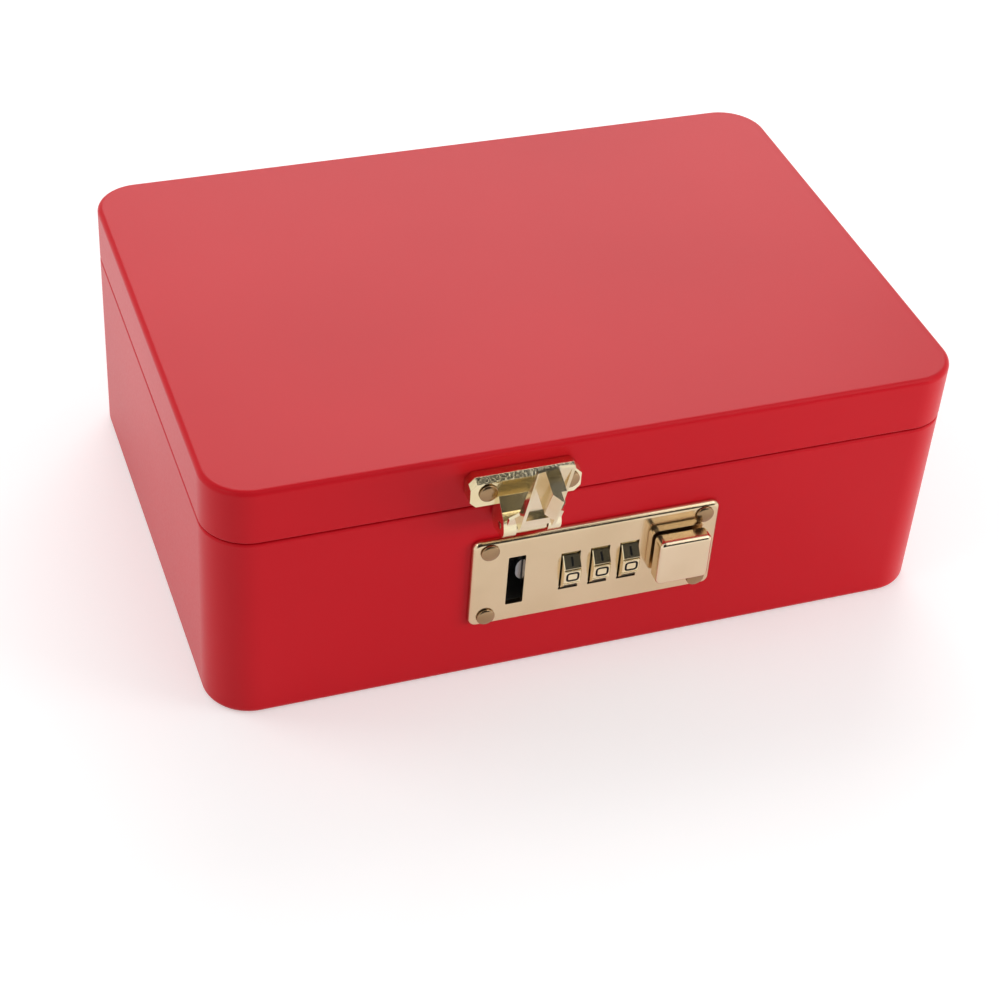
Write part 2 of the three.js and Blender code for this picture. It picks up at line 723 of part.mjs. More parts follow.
// The button: a cap with a rounded front on a stem that reaches through the collar to the slider
function buttonCap() {
  const front = capBack + capDepth;
  const cap = stacked(capWidth, capHeight, capCorner, [
    ...bend(plateRound / 2, capBack + plateRound / 2, plateRound / 2, -90, 0),
    ...bend(capRound, front - capRound, capRound, 0, 90),
  ], buttonX, buttonY);
  const stem = block(stemLeft, stemRight, buttonY - stemHeight / 2, buttonY + stemHeight / 2,
    -sliderBack, capBack + capDepth / 2);
  return meshOf('button_cap', cap.add(stem), warmBrass);
}

// The return spring: a coil between the slider's arm and the wall of the case
function returnSpring() {
  const from = sliderLeft + armThickness + returnWire + seatGap;
  const length = caseRight - caseWall - seatGap - returnWire - from;
  const coil = wire(new Coil(returnRadius, length, returnTurns), returnWire, returnTurns * wireSteps);
  const mesh = meshOf('return_spring', coil, springSteel);
  mesh.position.set(from, wheelAxisY, -returnDepth);
  return mesh;
}

// The detent spring: a strip along the cover with a bent finger behind each wheel
function detentSpring() {
  const low = caseBottom + caseWall + seatGap;
  const back = -caseDepth + seatGap;
  const strip = block(wheelXs[0] - fingerWidth, wheelXs[2] + fingerWidth, low, low + stripWidth,
    back, back + stripThickness);
  const reach = wheelRadius + runGap;
  const tip = [wheelAxisY - reach * Math.SQRT1_2, -wheelAxisDepth - reach * Math.SQRT1_2];
  const outline = [
    [low + stripWidth - stripThickness, back],
    [low + stripWidth, back],
    tip,
    [tip[0] - stripThickness, tip[1]],
  ];
  const fingers = wheelXs.map((x) => sideSlab(outline, x - fingerWidth / 2, x + fingerWidth / 2));
  return meshOf('detent_spring', join(strip, ...fingers), springSteel);
}

// The code change lever: a plate inside the cover with a tab out through its slot
function changeLever() {
  const face = -caseDepth + seatGap / 2;
  const plate = block(leverX - leverWidth / 2, leverX + leverWidth / 2, -leverHeight / 2, leverHeight / 2,
    face, face + leverThickness);
  const tab = block(leverX - tabWidth / 2, leverX + tabWidth / 2, -tabWidth / 2, tabWidth / 2,
    face - tabReach, face + leverThickness / 2);
  return meshOf('change_lever', plate.add(tab), zinc);
}

// The bracket, about the hasp pin with Z out: bevelled ears and a housing that ends in two lobes
function haspBracket() {
  const wall = -pinOut + seatGap;
  const front = -pinOut + bracketFront;
  const ears = stacked(bracketWidth, bracketTop - bracketBottom, bracketCorner, [
    [0, wall],
    [0, front - bevelDepth],
    [bevelRise, front],
  ], 0, (bracketTop + bracketBottom) / 2);
  const back = -pinOut + housingStandoff;
  const outline = [
    ...housingShares.map(([up, out]) => [up * bracketTop, out * housingReach - pinOut]),
    [-lobeRadius + housingStandoff, back],
    [barrelOpening, back],
    [barrelOpening + housingStandoff, wall],
    [bracketTop - lobeRadius, wall],
    [bracketTop - lobeRadius, front - bevelDepth / 2],
  ];
  const side = sideSlab(outline, -housingTopWidth / 2, housingTopWidth / 2).add(
    rod('x', lobeRadius, -housingTopWidth / 2, housingTopWidth / 2, [0, 0]),
  );
  const taper = slab([
    [-housingTopWidth / 2, bracketTop],
    [-housingTopWidth / 2, bracketBottom - bracketCorner / 2],
    [-housingWidth / 2, lobeRadius],
    [-housingWidth / 2, -pinOut],
    [housingWidth / 2, -pinOut],
    [housingWidth / 2, lobeRadius],
    [housingTopWidth / 2, bracketBottom - bracketCorner / 2],
    [housingTopWidth / 2, bracketTop],
  ], -pinOut, housingReach);
  const half = neckWidth / 2 + runGap;
  const barrelRoom = join(
    rod('x', barrelRadius + 1.5 * runGap, -half, half, [0, 0]),
    block(-half, half, -pinOut, barrelOpening, -webFront, housingReach),
  );
  const holes = [-1, 1].map((sign) => rod('z', rivetShank + runGap, -pinOut - overrun,
    front + overrun, [sign * bracketRivetX, bracketRivetY], rivetSides));
  const bore = rod('x', haspPinRadius + seatGap, -housingTopWidth, housingTopWidth, [0, 0], rivetSides);
  return meshOf('hasp_bracket', ears.add(side.intersect(taper)).subtract(join(barrelRoom, bore, ...holes)),
    warmBrass);
}

function haspRivets() {
  const grip = bracketFront + sheet + 2 * seatGap;
  return [-1, 1].map((sign, i) => {
    const mesh = rivet(`hasp_rivet_${i + 1}`, frontRivetHead, frontRivetDome, grip,
      sign * bracketRivetX, bracketRivetY);
    mesh.position.z = -pinOut + bracketFront + seatGap;
    return mesh;
  });
}

function haspPin() {
  const half = housingWidth / 2 + seatGap;
  return meshOf('hasp_pin', rod('x', haspPinRadius, -half, half, [0, 0], rivetSides), nickel);
}

// The flap, hanging down from its pin with Z out: a strip with two rims, flat shoulders, a thick root
// beside the barrel and a staple
function haspFlap() {
  const half = flapWidth / 2;
  const rimDepth = -stripInner - rimHeight;
  const rimSide = [
    [-shoulderStart, -stripInner],
    [-shoulderStart, rimDepth],
    [-shoulderEnd, rimDepth],
    [-rimEnd, -stripInner],
  ];
  const rims = [-half, half - rimWall].map((x) => sideSlab(rimSide, x, x + rimWall));
  const strip = slab(flapOutline(), -stripInner, -stripOffset);
  const root = block(-half, half, -rootEnd, -shoulderStart, -rootDepth, -stripOffset);
  const barrel = rod('x', barrelRadius, -neckWidth / 2, neckWidth / 2, [0, 0], barrelSides);
  const bore = rod('x', haspPinRadius + seatGap, -neckWidth, neckWidth, [0, 0], rivetSides);
  const springRoom = rod('x', haspCoilRadius + haspWire + seatGap, -neckWidth,
    neckWidth / 2 - springWall, [0, 0]);
  const body = join(strip, ...rims, root, barrel).subtract(bore.add(springRoom)).add(staple());
  return meshOf('hasp_flap', body, warmBrass);
}

// Half the strip's outline mirrored about its middle, with a bulged free end
function flapOutline() {
  const right = [
    [neckWidth / 2, 0],
    [neckWidth / 2, -shoulderStart],
    [shoulderWidth / 2, -shoulderStart],
    [shoulderWidth / 2, -shoulderEnd],
    [flapWidth / 2, -shoulderTaper],
    [flapWidth / 2, -flapLength + flapBulge],
    [flapWidth / 4, -flapLength + flapBulge / 4],
  ];
  const left = right.map(([x, y]) => [-x, y]).reverse();
  return [...right, [0, -flapLength], ...left];
}

// The staple: a block with a chamfered nose, cut back on its right side, where a pocket takes the blade
function staple() {
  const half = stapleWidth / 2;
  const bladeMiddle = plateLevel + bladeY - pinLevel;
  const bladeFront = -pinOut - bladeDepth;
  const cutFrom = bladeFront + runGap;
  const nose = sideSlab([
    [-stapleStart, -stripOffset - stripSheet / 2],
    [-stapleEnd, -stripOffset - stripSheet / 2],
    [-stapleEnd, -stapleReach + noseEase],
    [-stapleEnd + noseEase, -stapleReach],
    [-stapleStart - noseEase, -stapleReach],
    [-stapleStart, -stapleReach + noseEase],
  ], -half, half);
  const chamferCut = levelSlab([
    [-stapleReach - overrun, -half - overrun],
    [-stapleReach - overrun, -half + noseChamfer],
    [-stapleReach, -half + noseChamfer],
    [-stapleReach + noseLength, -half],
    [-stapleReach + noseLength, -half - overrun],
  ], -stapleEnd - overrun, -stapleStart + overrun);
  const cutX = bladeTipX - runGap - haspX;
  const relief = block(cutX, half + overrun, -stapleEnd - overrun, -stapleStart + overrun,
    -stapleReach - overrun, cutFrom);
  const pocketX = bladeTipX - boltThrow - seatGap - haspX;
  const pocket = block(pocketX, half + overrun, bladeMiddle - bladeHeight / 2 - pocketGap,
    bladeMiddle + bladeHeight / 2 + pocketGap, bladeFront - bladeThickness - pocketGap,
    cutFrom - runGap / 4);
  return nose.subtract(join(chamferCut, relief, pocket));
}

// The torsion spring round the pin, in the barrel's counterbore
function haspSpring() {
  const length = neckWidth - springWall - 2 * haspWire - 3 * seatGap;
  const coil = wire(new Coil(haspCoilRadius, length, haspTurns), haspWire, haspTurns * wireSteps);
  const mesh = meshOf('hasp_spring', coil, springSteel);
  mesh.position.x = -neckWidth / 2 + seatGap + haspWire;
  return mesh;
}

// The front of the box seen square on: X to the right, Y up, Z out of the front wall
function frontGroup() {
  const front = new THREE.Group();
  front.rotation.x = Math.PI / 2;
  front.position.y = -boxDepth / 2;
  return front;
}

function lockGroup() {
  const lock = new THREE.Group();
  lock.position.y = plateLevel;
  lock.add(lockPlate(), ...lockRivets(), lockCase(), lockBackCover(), ...coverScrews());
  lock.add(boltShaft(), boltBlade(), buttonSlider(), buttonCap(), returnSpring(), detentSpring());
  lock.add(changeLever());
  wheelXs.forEach((x, i) => lock.add(numberWheel(x, i + 1), clutchSleeve(x, i + 1)));
  return lock;
}

function haspGroup() {
  const hasp = new THREE.Group();
  hasp.position.set(haspX, pinLevel, pinOut);
  const flap = haspFlap();
  flap.rotation.x = THREE.MathUtils.degToRad(-flapOpening);
  hasp.add(haspBracket(), ...haspRivets(), haspPin(), flap, haspSpring());
  return hasp;
}

const front = frontGroup();
front.add(lockGroup(), haspGroup());
const lockBox = new THREE.Group();
lockBox.name = 'medication_lock_box';
lockBox.add(baseShell(), lidShell(), rearHinge(-1, 1), rearHinge(1, 3), front);

export default lockBox;
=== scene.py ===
# Medication lock box: looks for the pressed steel box, its sprung hasp and its number lock.
import json
import math

import bmesh
import bpy
import numpy as np
from mathutils import Matrix, Vector


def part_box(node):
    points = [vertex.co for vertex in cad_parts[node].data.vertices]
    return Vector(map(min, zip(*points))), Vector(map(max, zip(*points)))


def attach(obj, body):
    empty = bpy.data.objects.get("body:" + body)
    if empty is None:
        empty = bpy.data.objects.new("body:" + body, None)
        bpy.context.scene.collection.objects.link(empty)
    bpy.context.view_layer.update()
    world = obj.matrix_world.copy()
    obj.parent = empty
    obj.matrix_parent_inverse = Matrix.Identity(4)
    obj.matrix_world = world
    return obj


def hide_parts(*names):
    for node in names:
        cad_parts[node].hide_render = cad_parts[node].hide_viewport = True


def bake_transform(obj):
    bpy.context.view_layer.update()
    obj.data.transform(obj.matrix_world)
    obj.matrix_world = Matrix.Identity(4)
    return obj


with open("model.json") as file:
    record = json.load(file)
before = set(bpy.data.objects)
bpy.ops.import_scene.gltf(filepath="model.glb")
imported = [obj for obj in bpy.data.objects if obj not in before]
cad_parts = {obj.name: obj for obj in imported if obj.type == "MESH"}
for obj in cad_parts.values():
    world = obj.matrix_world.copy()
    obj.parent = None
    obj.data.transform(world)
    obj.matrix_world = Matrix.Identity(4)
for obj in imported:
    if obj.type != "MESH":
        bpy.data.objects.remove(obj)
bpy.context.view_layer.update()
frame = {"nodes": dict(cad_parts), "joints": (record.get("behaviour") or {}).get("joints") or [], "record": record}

nodes = frame["nodes"]
mm = 0.001
print("frame loaded with", len(nodes), "nodes")


# Lowest and highest corner of a node in millimetres
def boxOf(node):
    low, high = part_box(node)
    return np.array(low) / mm, np.array(high) / mm


baseLow, baseHigh = boxOf("base_shell")
lidLow, lidHigh = boxOf("lid_shell")
plateLow, plateHigh = boxOf("lock_plate")
caseLow, caseHigh = boxOf("lock_case")
capLow, capHigh = boxOf("button_cap")
wallY = lidLow[1]  # outer face of the front wall
bodyOfNode = {node: body for body, members in frame["record"]["behaviour"]["bodies"].items()
              for node in members}
jointPlaces = {joint["child"]: np.array(joint["pos_m"]) / mm for joint in frame["joints"]
               if joint.get("pos_m")}
wheelAxis = jointPlaces["dial_1"]
pinPlace = jointPlaces["hasp"]


# Surfaces: grids of points worked out as whole arrays

# Quads between neighbouring rings of a grid, where each ring runs round and is closed
def gridFaces(ringCount, pointCount):
    ring = np.arange(ringCount - 1)[:, None] * pointCount
    point = np.arange(pointCount)[None, :]
    after = (point + 1) % pointCount
    quads = np.stack([ring + point, ring + after, ring + pointCount + after, ring + pointCount + point], -1)
    return quads.reshape(-1, 4).tolist()


# A closed surface from rings [ring, point, xyz]: quads between the rings and one flat face at each end
def closedSurface(rings):
    count = rings.shape[1]
    last = (rings.shape[0] - 1) * count
    faces = gridFaces(*rings.shape[:2])
    faces.append(list(range(count))[::-1])
    faces.append(list(range(last, last + count)))
    return rings.reshape(-1, 3), faces


# Rounded rectangles stacked by pairs of inset and level. A corner point is the corner's centre plus its
# radius turned by the angle, and each corner has one more point just past both ends, slid along the
# straight side, which keeps the shading of the bend off the flat wall.
def stackedRings(width, depth, corner, profile, middle=(0, 0), steps=14, hold=0.1, leastRadius=0.05):
    inset, level = np.asarray(profile, float).T[:, :, None]
    quarter = np.repeat(np.arange(4), steps + 3)
    share = np.tile(np.concatenate([[0], np.linspace(0, 1, steps + 1), [1]]), 4)
    slide = np.tile(np.concatenate([[-hold], np.zeros(steps + 1), [hold]]), 4)
    angle = (quarter + share) * math.pi / 2
    diagonal = (quarter + 0.5) * math.pi / 2
    radius = np.maximum(corner - inset, leastRadius)
    x = middle[0] + np.sign(np.cos(diagonal)) * (width / 2 - inset - radius)
    y = middle[1] + np.sign(np.sin(diagonal)) * (depth / 2 - inset - radius)
    x = x + radius * np.cos(angle) - slide * np.sin(angle)
    y = y + radius * np.sin(angle) + slide * np.cos(angle)
    return np.stack([x, y, level + 0 * angle], -1)


# Rows of inset and level along an arc about (inset, level), from one angle in degrees to another
def bendRows(inset, level, radius, start, stop, steps=8):
    angle = np.radians(np.linspace(start, stop, steps + 1))
    return np.stack([inset - radius * np.cos(angle), level + radius * np.sin(angle)], -1).tolist()


# A profile of radius and height turned about the third axis: x = r cos a, y = r sin a, z = h
def turnedRings(profile, steps=48):
    radius, height = np.asarray(profile, float).T[:, :, None]
    angle = np.arange(steps) / steps * 2 * math.pi
    return np.stack([radius * np.cos(angle), radius * np.sin(angle), height + 0 * angle], -1)


# A tube along a coil about X: the centre runs x = t length, round at the coil's radius, and each ring is a
# circle in the plane of the outward direction and the one square to it and to the wire
def coilRings(start, length, radius, turns, wire, steps=24, sides=10):
    t = np.linspace(0, 1, turns * steps + 1)[:, None]
    turn = t * turns * 2 * math.pi
    side = np.arange(sides)[None, :] / sides * 2 * math.pi
    outward = np.stack([0 * turn, np.cos(turn), np.sin(turn)], -1)
    along = np.stack([length + 0 * turn, -radius * turns * 2 * math.pi * np.sin(turn),
                      radius * turns * 2 * math.pi * np.cos(turn)], -1)
    along = along / np.linalg.norm(along, axis=-1, keepdims=True)
    across = np.cross(along, outward)
    centre = np.array(start) + np.stack([t * length, radius * np.cos(turn), radius * np.sin(turn)], -1)
    circle = np.cos(side)[..., None] * outward + np.sin(side)[..., None] * across
    return centre + wire * circle


# A bar along X: a circle carried from one x to another
def barSurface(radius, x0, x1, y, z, steps=96):
    rings = turnedRings([[radius, x0], [radius, x1]], steps)
    return closedSurface(np.stack([rings[..., 2], rings[..., 0] + y, rings[..., 1] + z], -1))


# A block between two corners, with its upright edges slightly round
def blockSurface(low, high, corner=0.4):
    middle = ((low[0] + high[0]) / 2, (low[1] + high[1]) / 2)
    return closedSurface(stackedRings(high[0] - low[0], high[1] - low[1], corner,
                                      [[0, low[2]], [0, high[2]]], middle, steps=4, hold=0.05))


# A flat outline of (across, along) points carried from one depth to another
def prism(outline, first, last):
    outline = np.asarray(outline, float)
    return np.stack([np.column_stack([outline, np.full(len(outline), depth)]) for depth in (first, last)])


# Points seen square on to the front (x right, y up, z out of the wall) put in place
def onFront(points, x=0, level=0):
    points = np.asarray(points, float)
    return np.stack([points[..., 0] + x, wallY - points[..., 2], points[..., 1] + level], -1)


# Surfaces as one, with the corner numbers of each moved on past the ones before it
def joinSurfaces(*surfaces):
    points, faces, offset = [], [], 0
    for part, partFaces in surfaces:
        part = np.asarray(part).reshape(-1, 3)
        points.append(part)
        faces += [[number + offset for number in face] for face in partFaces]
        offset += len(part)
    return np.concatenate(points), faces


# Objects

def addObject(name, data):
    made = bpy.data.objects.new(name, data)
    bpy.context.scene.collection.objects.link(made)
    return made


# A surface in millimetres as an object, not finished yet
def rawObject(name, surface, finishes=()):
    points, faces = surface
    mesh = bpy.data.meshes.new(name)
    mesh.from_pydata((np.asarray(points).reshape(-1, 3) * mm).tolist(), [], faces)
    mesh.update()
    for finish in finishes:
        mesh.materials.append(finish)
    return addObject(name, mesh)


# The mesh with its modifiers applied takes the place of the raw one
def settle(piece):
    bpy.context.view_layer.update()
    graph = bpy.context.evaluated_depsgraph_get()
    made = bpy.data.meshes.new_from_object(piece.evaluated_get(graph), depsgraph=graph)
    piece.modifiers.clear()
    piece.data = made


# A piece cut by tools, or joined with them, which are then gone
def cut(piece, tools, operation="DIFFERENCE"):
    for tool in tools:
        step = piece.modifiers.new("cut", "BOOLEAN")
        step.operation = operation
        step.solver = "EXACT"
        step.object = tool
    settle(piece)
    for tool in tools:
        bpy.data.objects.remove(tool)


# Edges sharper than the angle rounded to a width in millimetres
def roundEdges(piece, width, segments=3, angle=35):
    step = piece.modifiers.new("edges", "BEVEL")
    step.width = width * mm
    step.segments = segments
    step.limit_method = "ANGLE"
    step.angle_limit = math.radians(angle)
    step.use_clamp_overlap = True
    settle(piece)


# Faces turned to point outwards
def turnFacesOut(mesh):
    work = bmesh.new()
    work.from_mesh(mesh)
    bmesh.ops.recalc_face_normals(work, faces=work.faces)
    work.to_mesh(mesh)
    work.free()


# Loose triangles merged at their corners, and those in one plane joined
def joinFacets(mesh, apart=1e-6, turn=1):
    work = bmesh.new()
    work.from_mesh(mesh)
    bmesh.ops.remove_doubles(work, verts=work.verts, dist=apart)
    bmesh.ops.dissolve_limit(work, angle_limit=math.radians(turn), verts=work.verts, edges=work.edges)
    work.to_mesh(mesh)
    work.free()


# Smooth shading with the real edges kept, flat faces held flat, and what the frame has to know of the piece that
# stands for a node. One that doesn't ride is left without a body.
def finishPiece(piece, node, sharp=40, rides=True):
    piece.data.shade_smooth()
    piece.data.set_sharp_from_angle(angle=math.radians(sharp))
    step = piece.modifiers.new("flats", "WEIGHTED_NORMAL")
    step.keep_sharp = True
    step.weight = 60
    settle(piece)
    if rides:
        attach(piece, bodyOfNode[node])
    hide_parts(node)


# A node's own solid with its facets joined, tools added and its edges rounded
def softened(node, name, finish, edge, segments=2, angle=35, added=()):
    mesh = nodes[node].data.copy()
    mesh.name = name
    joinFacets(mesh)
    mesh.materials.clear()
    mesh.materials.append(finish)
    piece = addObject(name, mesh)
    if added:
        cut(piece, added, "UNION")
        joinFacets(piece.data)
    roundEdges(piece, edge, segments, angle)
    finishPiece(piece, node)


# Shader maths: a wire is one output of a node, and sums on wires add the nodes

class Wire:
    def __init__(self, finish, socket):
        self.finish = finish
        self.socket = socket

    def maths(self, operation, first, second):
        return self.finish.node("ShaderNodeMath", {"operation": operation}, {0: first, 1: second})

    def __add__(self, other):
        return self.maths("ADD", self, other)

    def __radd__(self, other):
        return self.maths("ADD", other, self)

    def __mul__(self, other):
        return self.maths("MULTIPLY", self, other)

    def __rmul__(self, other):
        return self.maths("MULTIPLY", other, self)


class Finish:
    def __init__(self, owner):
        owner.use_nodes = True
        self.owner = owner
        self.tree = owner.node_tree
        self.tree.nodes.clear()

    # Any node: its settings first, then the values or wires of its sockets
    def node(self, kind, settings=None, values=None, output=0):
        made = self.tree.nodes.new(kind)
        for key, value in (settings or {}).items():
            setattr(made, key, value)
        for key, value in (values or {}).items():
            if isinstance(value, Wire):
                self.tree.links.new(value.socket, made.inputs[key])
            else:
                made.inputs[key].default_value = value
        return Wire(self, made.outputs[output] if len(made.outputs) else None)

    def place(self):
        return self.node("ShaderNodeTexCoord", output="Object")

    def ray(self, kind):
        return self.node("ShaderNodeLightPath", output=f"Is {kind} Ray")

    def noise(self, scale, detail=2, stretch=None):
        place = self.place()
        if stretch:
            place = self.node("ShaderNodeMapping", {}, {"Vector": place, "Scale": stretch})
        return self.node("ShaderNodeTexNoise", {}, {"Vector": place, "Scale": scale, "Detail": detail})

    # Straight line from one value to another as a wire goes from one place to the next
    def between(self, wire, low, high, first=0.0, second=1.0):
        return self.node("ShaderNodeMapRange", {}, {
            "Value": wire, "From Min": low, "From Max": high, "To Min": first, "To Max": second})

    # The Mix node's colours are its inputs 6 and 7 and its output 2
    def mixColour(self, factor, first, second):
        return self.node("ShaderNodeMix", {"data_type": "RGBA"}, {0: factor, 6: first, 7: second}, 2)

    # Depth in millimetres
    def bump(self, height, strength, depth):
        return self.node("ShaderNodeBump", {}, {"Height": height, "Strength": strength,
                                                "Distance": depth * mm})

    def surface(self, values):
        shader = self.node("ShaderNodeBsdfPrincipled", {}, values)
        self.node("ShaderNodeOutputMaterial", {}, {"Surface": shader})
        return self.owner


def newFinish(name):
    return Finish(bpy.data.materials.new(name))


def rgb(red, green, blue):
    return (red, green, blue, 1)


# Satin red powder coat: a fine orange peel, slow drifts of tone and a low, wide gloss
redLook = {"colour": rgb(0.61, 0.0045, 0.0130), "deeper": rgb(0.55, 0.0035, 0.0110), "mottle": (0.3, 0.7),
           "driftScale": 7, "peelScale": 950, "dustScale": 2600, "peelShare": 0.7, "dustShare": 0.3,
           "strength": 0.5, "depth": 0.018, "rough": 0.27, "peelRough": 0.08, "driftRough": 0.04,
           "index": 1.27}


def redCoat():
    make = newFinish("satin_red_coat")
    drift = make.noise(redLook["driftScale"], detail=3)
    peel = make.noise(redLook["peelScale"], detail=2)
    dust = make.noise(redLook["dustScale"], detail=1)
    height = peel * redLook["peelShare"] + dust * redLook["dustShare"]
    tone = make.between(drift, *redLook["mottle"])
    return make.surface({
        "Base Color": make.mixColour(tone, redLook["colour"], redLook["deeper"]),
        "Roughness": redLook["rough"] + peel * redLook["peelRough"] + drift * redLook["driftRough"],
        "IOR": redLook["index"],
        "Normal": make.bump(height, redLook["strength"], redLook["depth"]),
    })


# Plated metal: mottled tone, faint rubbing lines along x and, on castings, a pitted skin
platedLook = {"driftScale": 60, "rubbedScale": 60, "rubbedStretch": (1, 45, 45), "pitScale": 1100,
              "grainScale": 4200, "grain": 0.05, "mottle": (0.35, 0.7), "strength": 0.6, "depth": 0.05,
              "rubbedRough": 0.06, "driftRough": 0.04, "fade": 0.3}


# The pits may be deeper above a level in millimetres
def plated(name, colour, deeper, rough, lines=0.0, pits=0.0, deeperAbove=None, deeperPits=1.0):
    make = newFinish(name)
    drift = make.noise(platedLook["driftScale"], detail=3)
    rubbed = make.noise(platedLook["rubbedScale"], detail=2, stretch=platedLook["rubbedStretch"])
    pitted = make.noise(platedLook["pitScale"], detail=2)
    if deeperAbove:
        level = make.node("ShaderNodeSeparateXYZ", {}, {"Vector": make.place()}, output="Z")
        fade = platedLook["fade"]
        pitted = pitted * make.between(level, (deeperAbove - fade) * mm, (deeperAbove + fade) * mm,
                                       1.0, deeperPits)
    grain = make.noise(platedLook["grainScale"], detail=1)
    height = rubbed * lines + pitted * pits + grain * platedLook["grain"]
    tone = make.between(drift, *platedLook["mottle"])
    return make.surface({
        "Base Color": make.mixColour(tone, colour, deeper),
        "Metallic": 1.0,
        "Roughness": rough + rubbed * platedLook["rubbedRough"] + drift * platedLook["driftRough"],
        "Normal": make.bump(height, platedLook["strength"], platedLook["depth"]),
    })


# Bare die-cast zinc: dull and slightly grainy
zincLook = {"colour": rgb(0.33, 0.33, 0.32), "deeper": rgb(0.24, 0.24, 0.24), "mottle": (0.3, 0.7),
            "driftScale": 90, "grainScale": 1800, "strength": 0.4, "depth": 0.04, "rough": 0.42,
            "grainRough": 0.14}


def castZinc():
    make = newFinish("dull_zinc")
    drift = make.noise(zincLook["driftScale"], detail=4)
    grain = make.noise(zincLook["grainScale"], detail=2)
    tone = make.between(drift, *zincLook["mottle"])
    return make.surface({
        "Base Color": make.mixColour(tone, zincLook["colour"], zincLook["deeper"]),
        "Metallic": 1.0,
        "Roughness": zincLook["rough"] + grain * zincLook["grainRough"],
        "Normal": make.bump(grain, zincLook["strength"], zincLook["depth"]),
    })


# Black paint in the numbers
paintLook = {"colour": rgb(0.002, 0.002, 0.003), "paler": rgb(0.007, 0.006, 0.006), "grainScale": 2000,
             "rough": 0.45, "grainRough": 0.2, "index": 1.25}


def numberPaint():
    make = newFinish("number_paint")
    grain = make.noise(paintLook["grainScale"], detail=2)
    return make.surface({
        "Base Color": make.mixColour(grain, paintLook["colour"], paintLook["paler"]),
        "Roughness": paintLook["rough"] + grain * paintLook["grainRough"],
        "IOR": paintLook["index"],
    })


redPaint = redCoat()
paleBrass = plated("pale_brass_satin", rgb(0.72, 0.565, 0.37), rgb(0.67, 0.52, 0.33), rough=0.14, lines=0.10)
brightBrass = plated("pale_brass_polished", rgb(0.78, 0.63, 0.44), rgb(0.73, 0.58, 0.39), rough=0.10,
                     lines=0.06)
castBrass = plated("brass_casting", rgb(0.84, 0.75, 0.55), rgb(0.72, 0.60, 0.37), rough=0.11, lines=0.05,
                   pits=0.7)
wheelBrass = plated("wheel_brass", rgb(0.84, 0.72, 0.48), rgb(0.66, 0.52, 0.28), rough=0.14, lines=0.15,
                    pits=0.5)
rivetBronze = plated("rivet_bronze", rgb(0.40, 0.262, 0.145), rgb(0.30, 0.19, 0.10), rough=0.16, lines=0.10,
                     pits=0.4)
boltSteel = plated("bolt_steel", rgb(0.34, 0.35, 0.37), rgb(0.26, 0.27, 0.29), rough=0.30, lines=0.5)
dullZinc = castZinc()
blackPaint = numberPaint()
print("finishes made")


# The two pressings: sheet steel trays with bent edges and tight round corners. The seam between them is
# the lid's edge, raised, and the base's shoulder, lowered, from the level where their solids meet.
shell = {"sheet": 1.0, "corner": 15.4, "lidBend": 1.8, "baseBend": 2.2, "shoulder": 0.9,
         "neckInset": 1.5, "rim": 0.42, "raised": 0.25, "lowered": 0.4, "hold": 0.15, "steps": 20,
         "lidBendSteps": 10, "rimSteps": 3, "caseGap": 0.3, "cutReach": 3}


# The lid's section as rows of inset and level: under its roof and round the inner bend, down to the rim,
# round the rim by two arcs, up the wall and round the outer bend
def lidRings():
    top, edge = lidHigh[2], lidLow[2] + shell["raised"]
    sheet, bendAt, rim, hold = shell["sheet"], shell["lidBend"], shell["rim"], shell["hold"]
    inner = bendAt - sheet
    rows = [[bendAt + hold, top - sheet]]
    rows += bendRows(bendAt, top - bendAt, inner, 90, 0)
    rows += [[sheet, edge + rim + hold]]
    rows += bendRows(sheet - rim, edge + rim, -rim, 0, 90, shell["rimSteps"])
    rows += bendRows(rim, edge + rim, rim, -90, 0, shell["rimSteps"])
    rows += [[0, edge + rim + hold], [0, top - bendAt - hold]]
    rows += bendRows(bendAt, top - bendAt, bendAt, 0, 90, shell["lidBendSteps"])
    rows += [[bendAt + hold, top]]
    return stackedRings(lidHigh[0] - lidLow[0], lidHigh[1] - lidLow[1], shell["corner"], rows,
                        steps=shell["steps"], hold=hold)


# The base's section: round the outer bend, up the wall and over the shoulder, up the neck and round its
# edge, then down inside it, out under the shoulder and down to the inner bend
def baseRings():
    neckTop = baseHigh[2]
    shoulderTop = lidLow[2] - shell["lowered"]
    sheet, bendAt, rim, hold = shell["sheet"], shell["baseBend"], shell["rim"], shell["hold"]
    shoulder, neck = shell["shoulder"], shell["neckInset"]
    rows = [[bendAt + hold, 0]]
    rows += bendRows(bendAt, bendAt, bendAt, -90, 0)
    rows += [[0, bendAt + hold], [0, shoulderTop - shoulder - hold]]
    rows += bendRows(shoulder, shoulderTop - shoulder, shoulder, 0, 90)
    rows += [[neck - rim, shoulderTop]]
    rows += [[neck, shoulderTop + hold], [neck, neckTop - rim - hold]]
    rows += bendRows(neck + rim, neckTop - rim, rim, 0, 90, shell["rimSteps"])
    rows += [[neck + sheet - rim, neckTop], [neck + sheet, neckTop - rim]]
    rows += [[neck + sheet, shoulderTop - sheet]]
    rows += [[sheet, shoulderTop - 2 * sheet], [sheet, bendAt + hold]]
    rows += bendRows(bendAt, bendAt, bendAt - sheet, 0, -90)
    rows += [[bendAt + hold, sheet]]
    return stackedRings(baseHigh[0] - baseLow[0], baseHigh[1] - baseLow[1], shell["corner"], rows,
                        steps=shell["steps"], hold=hold)


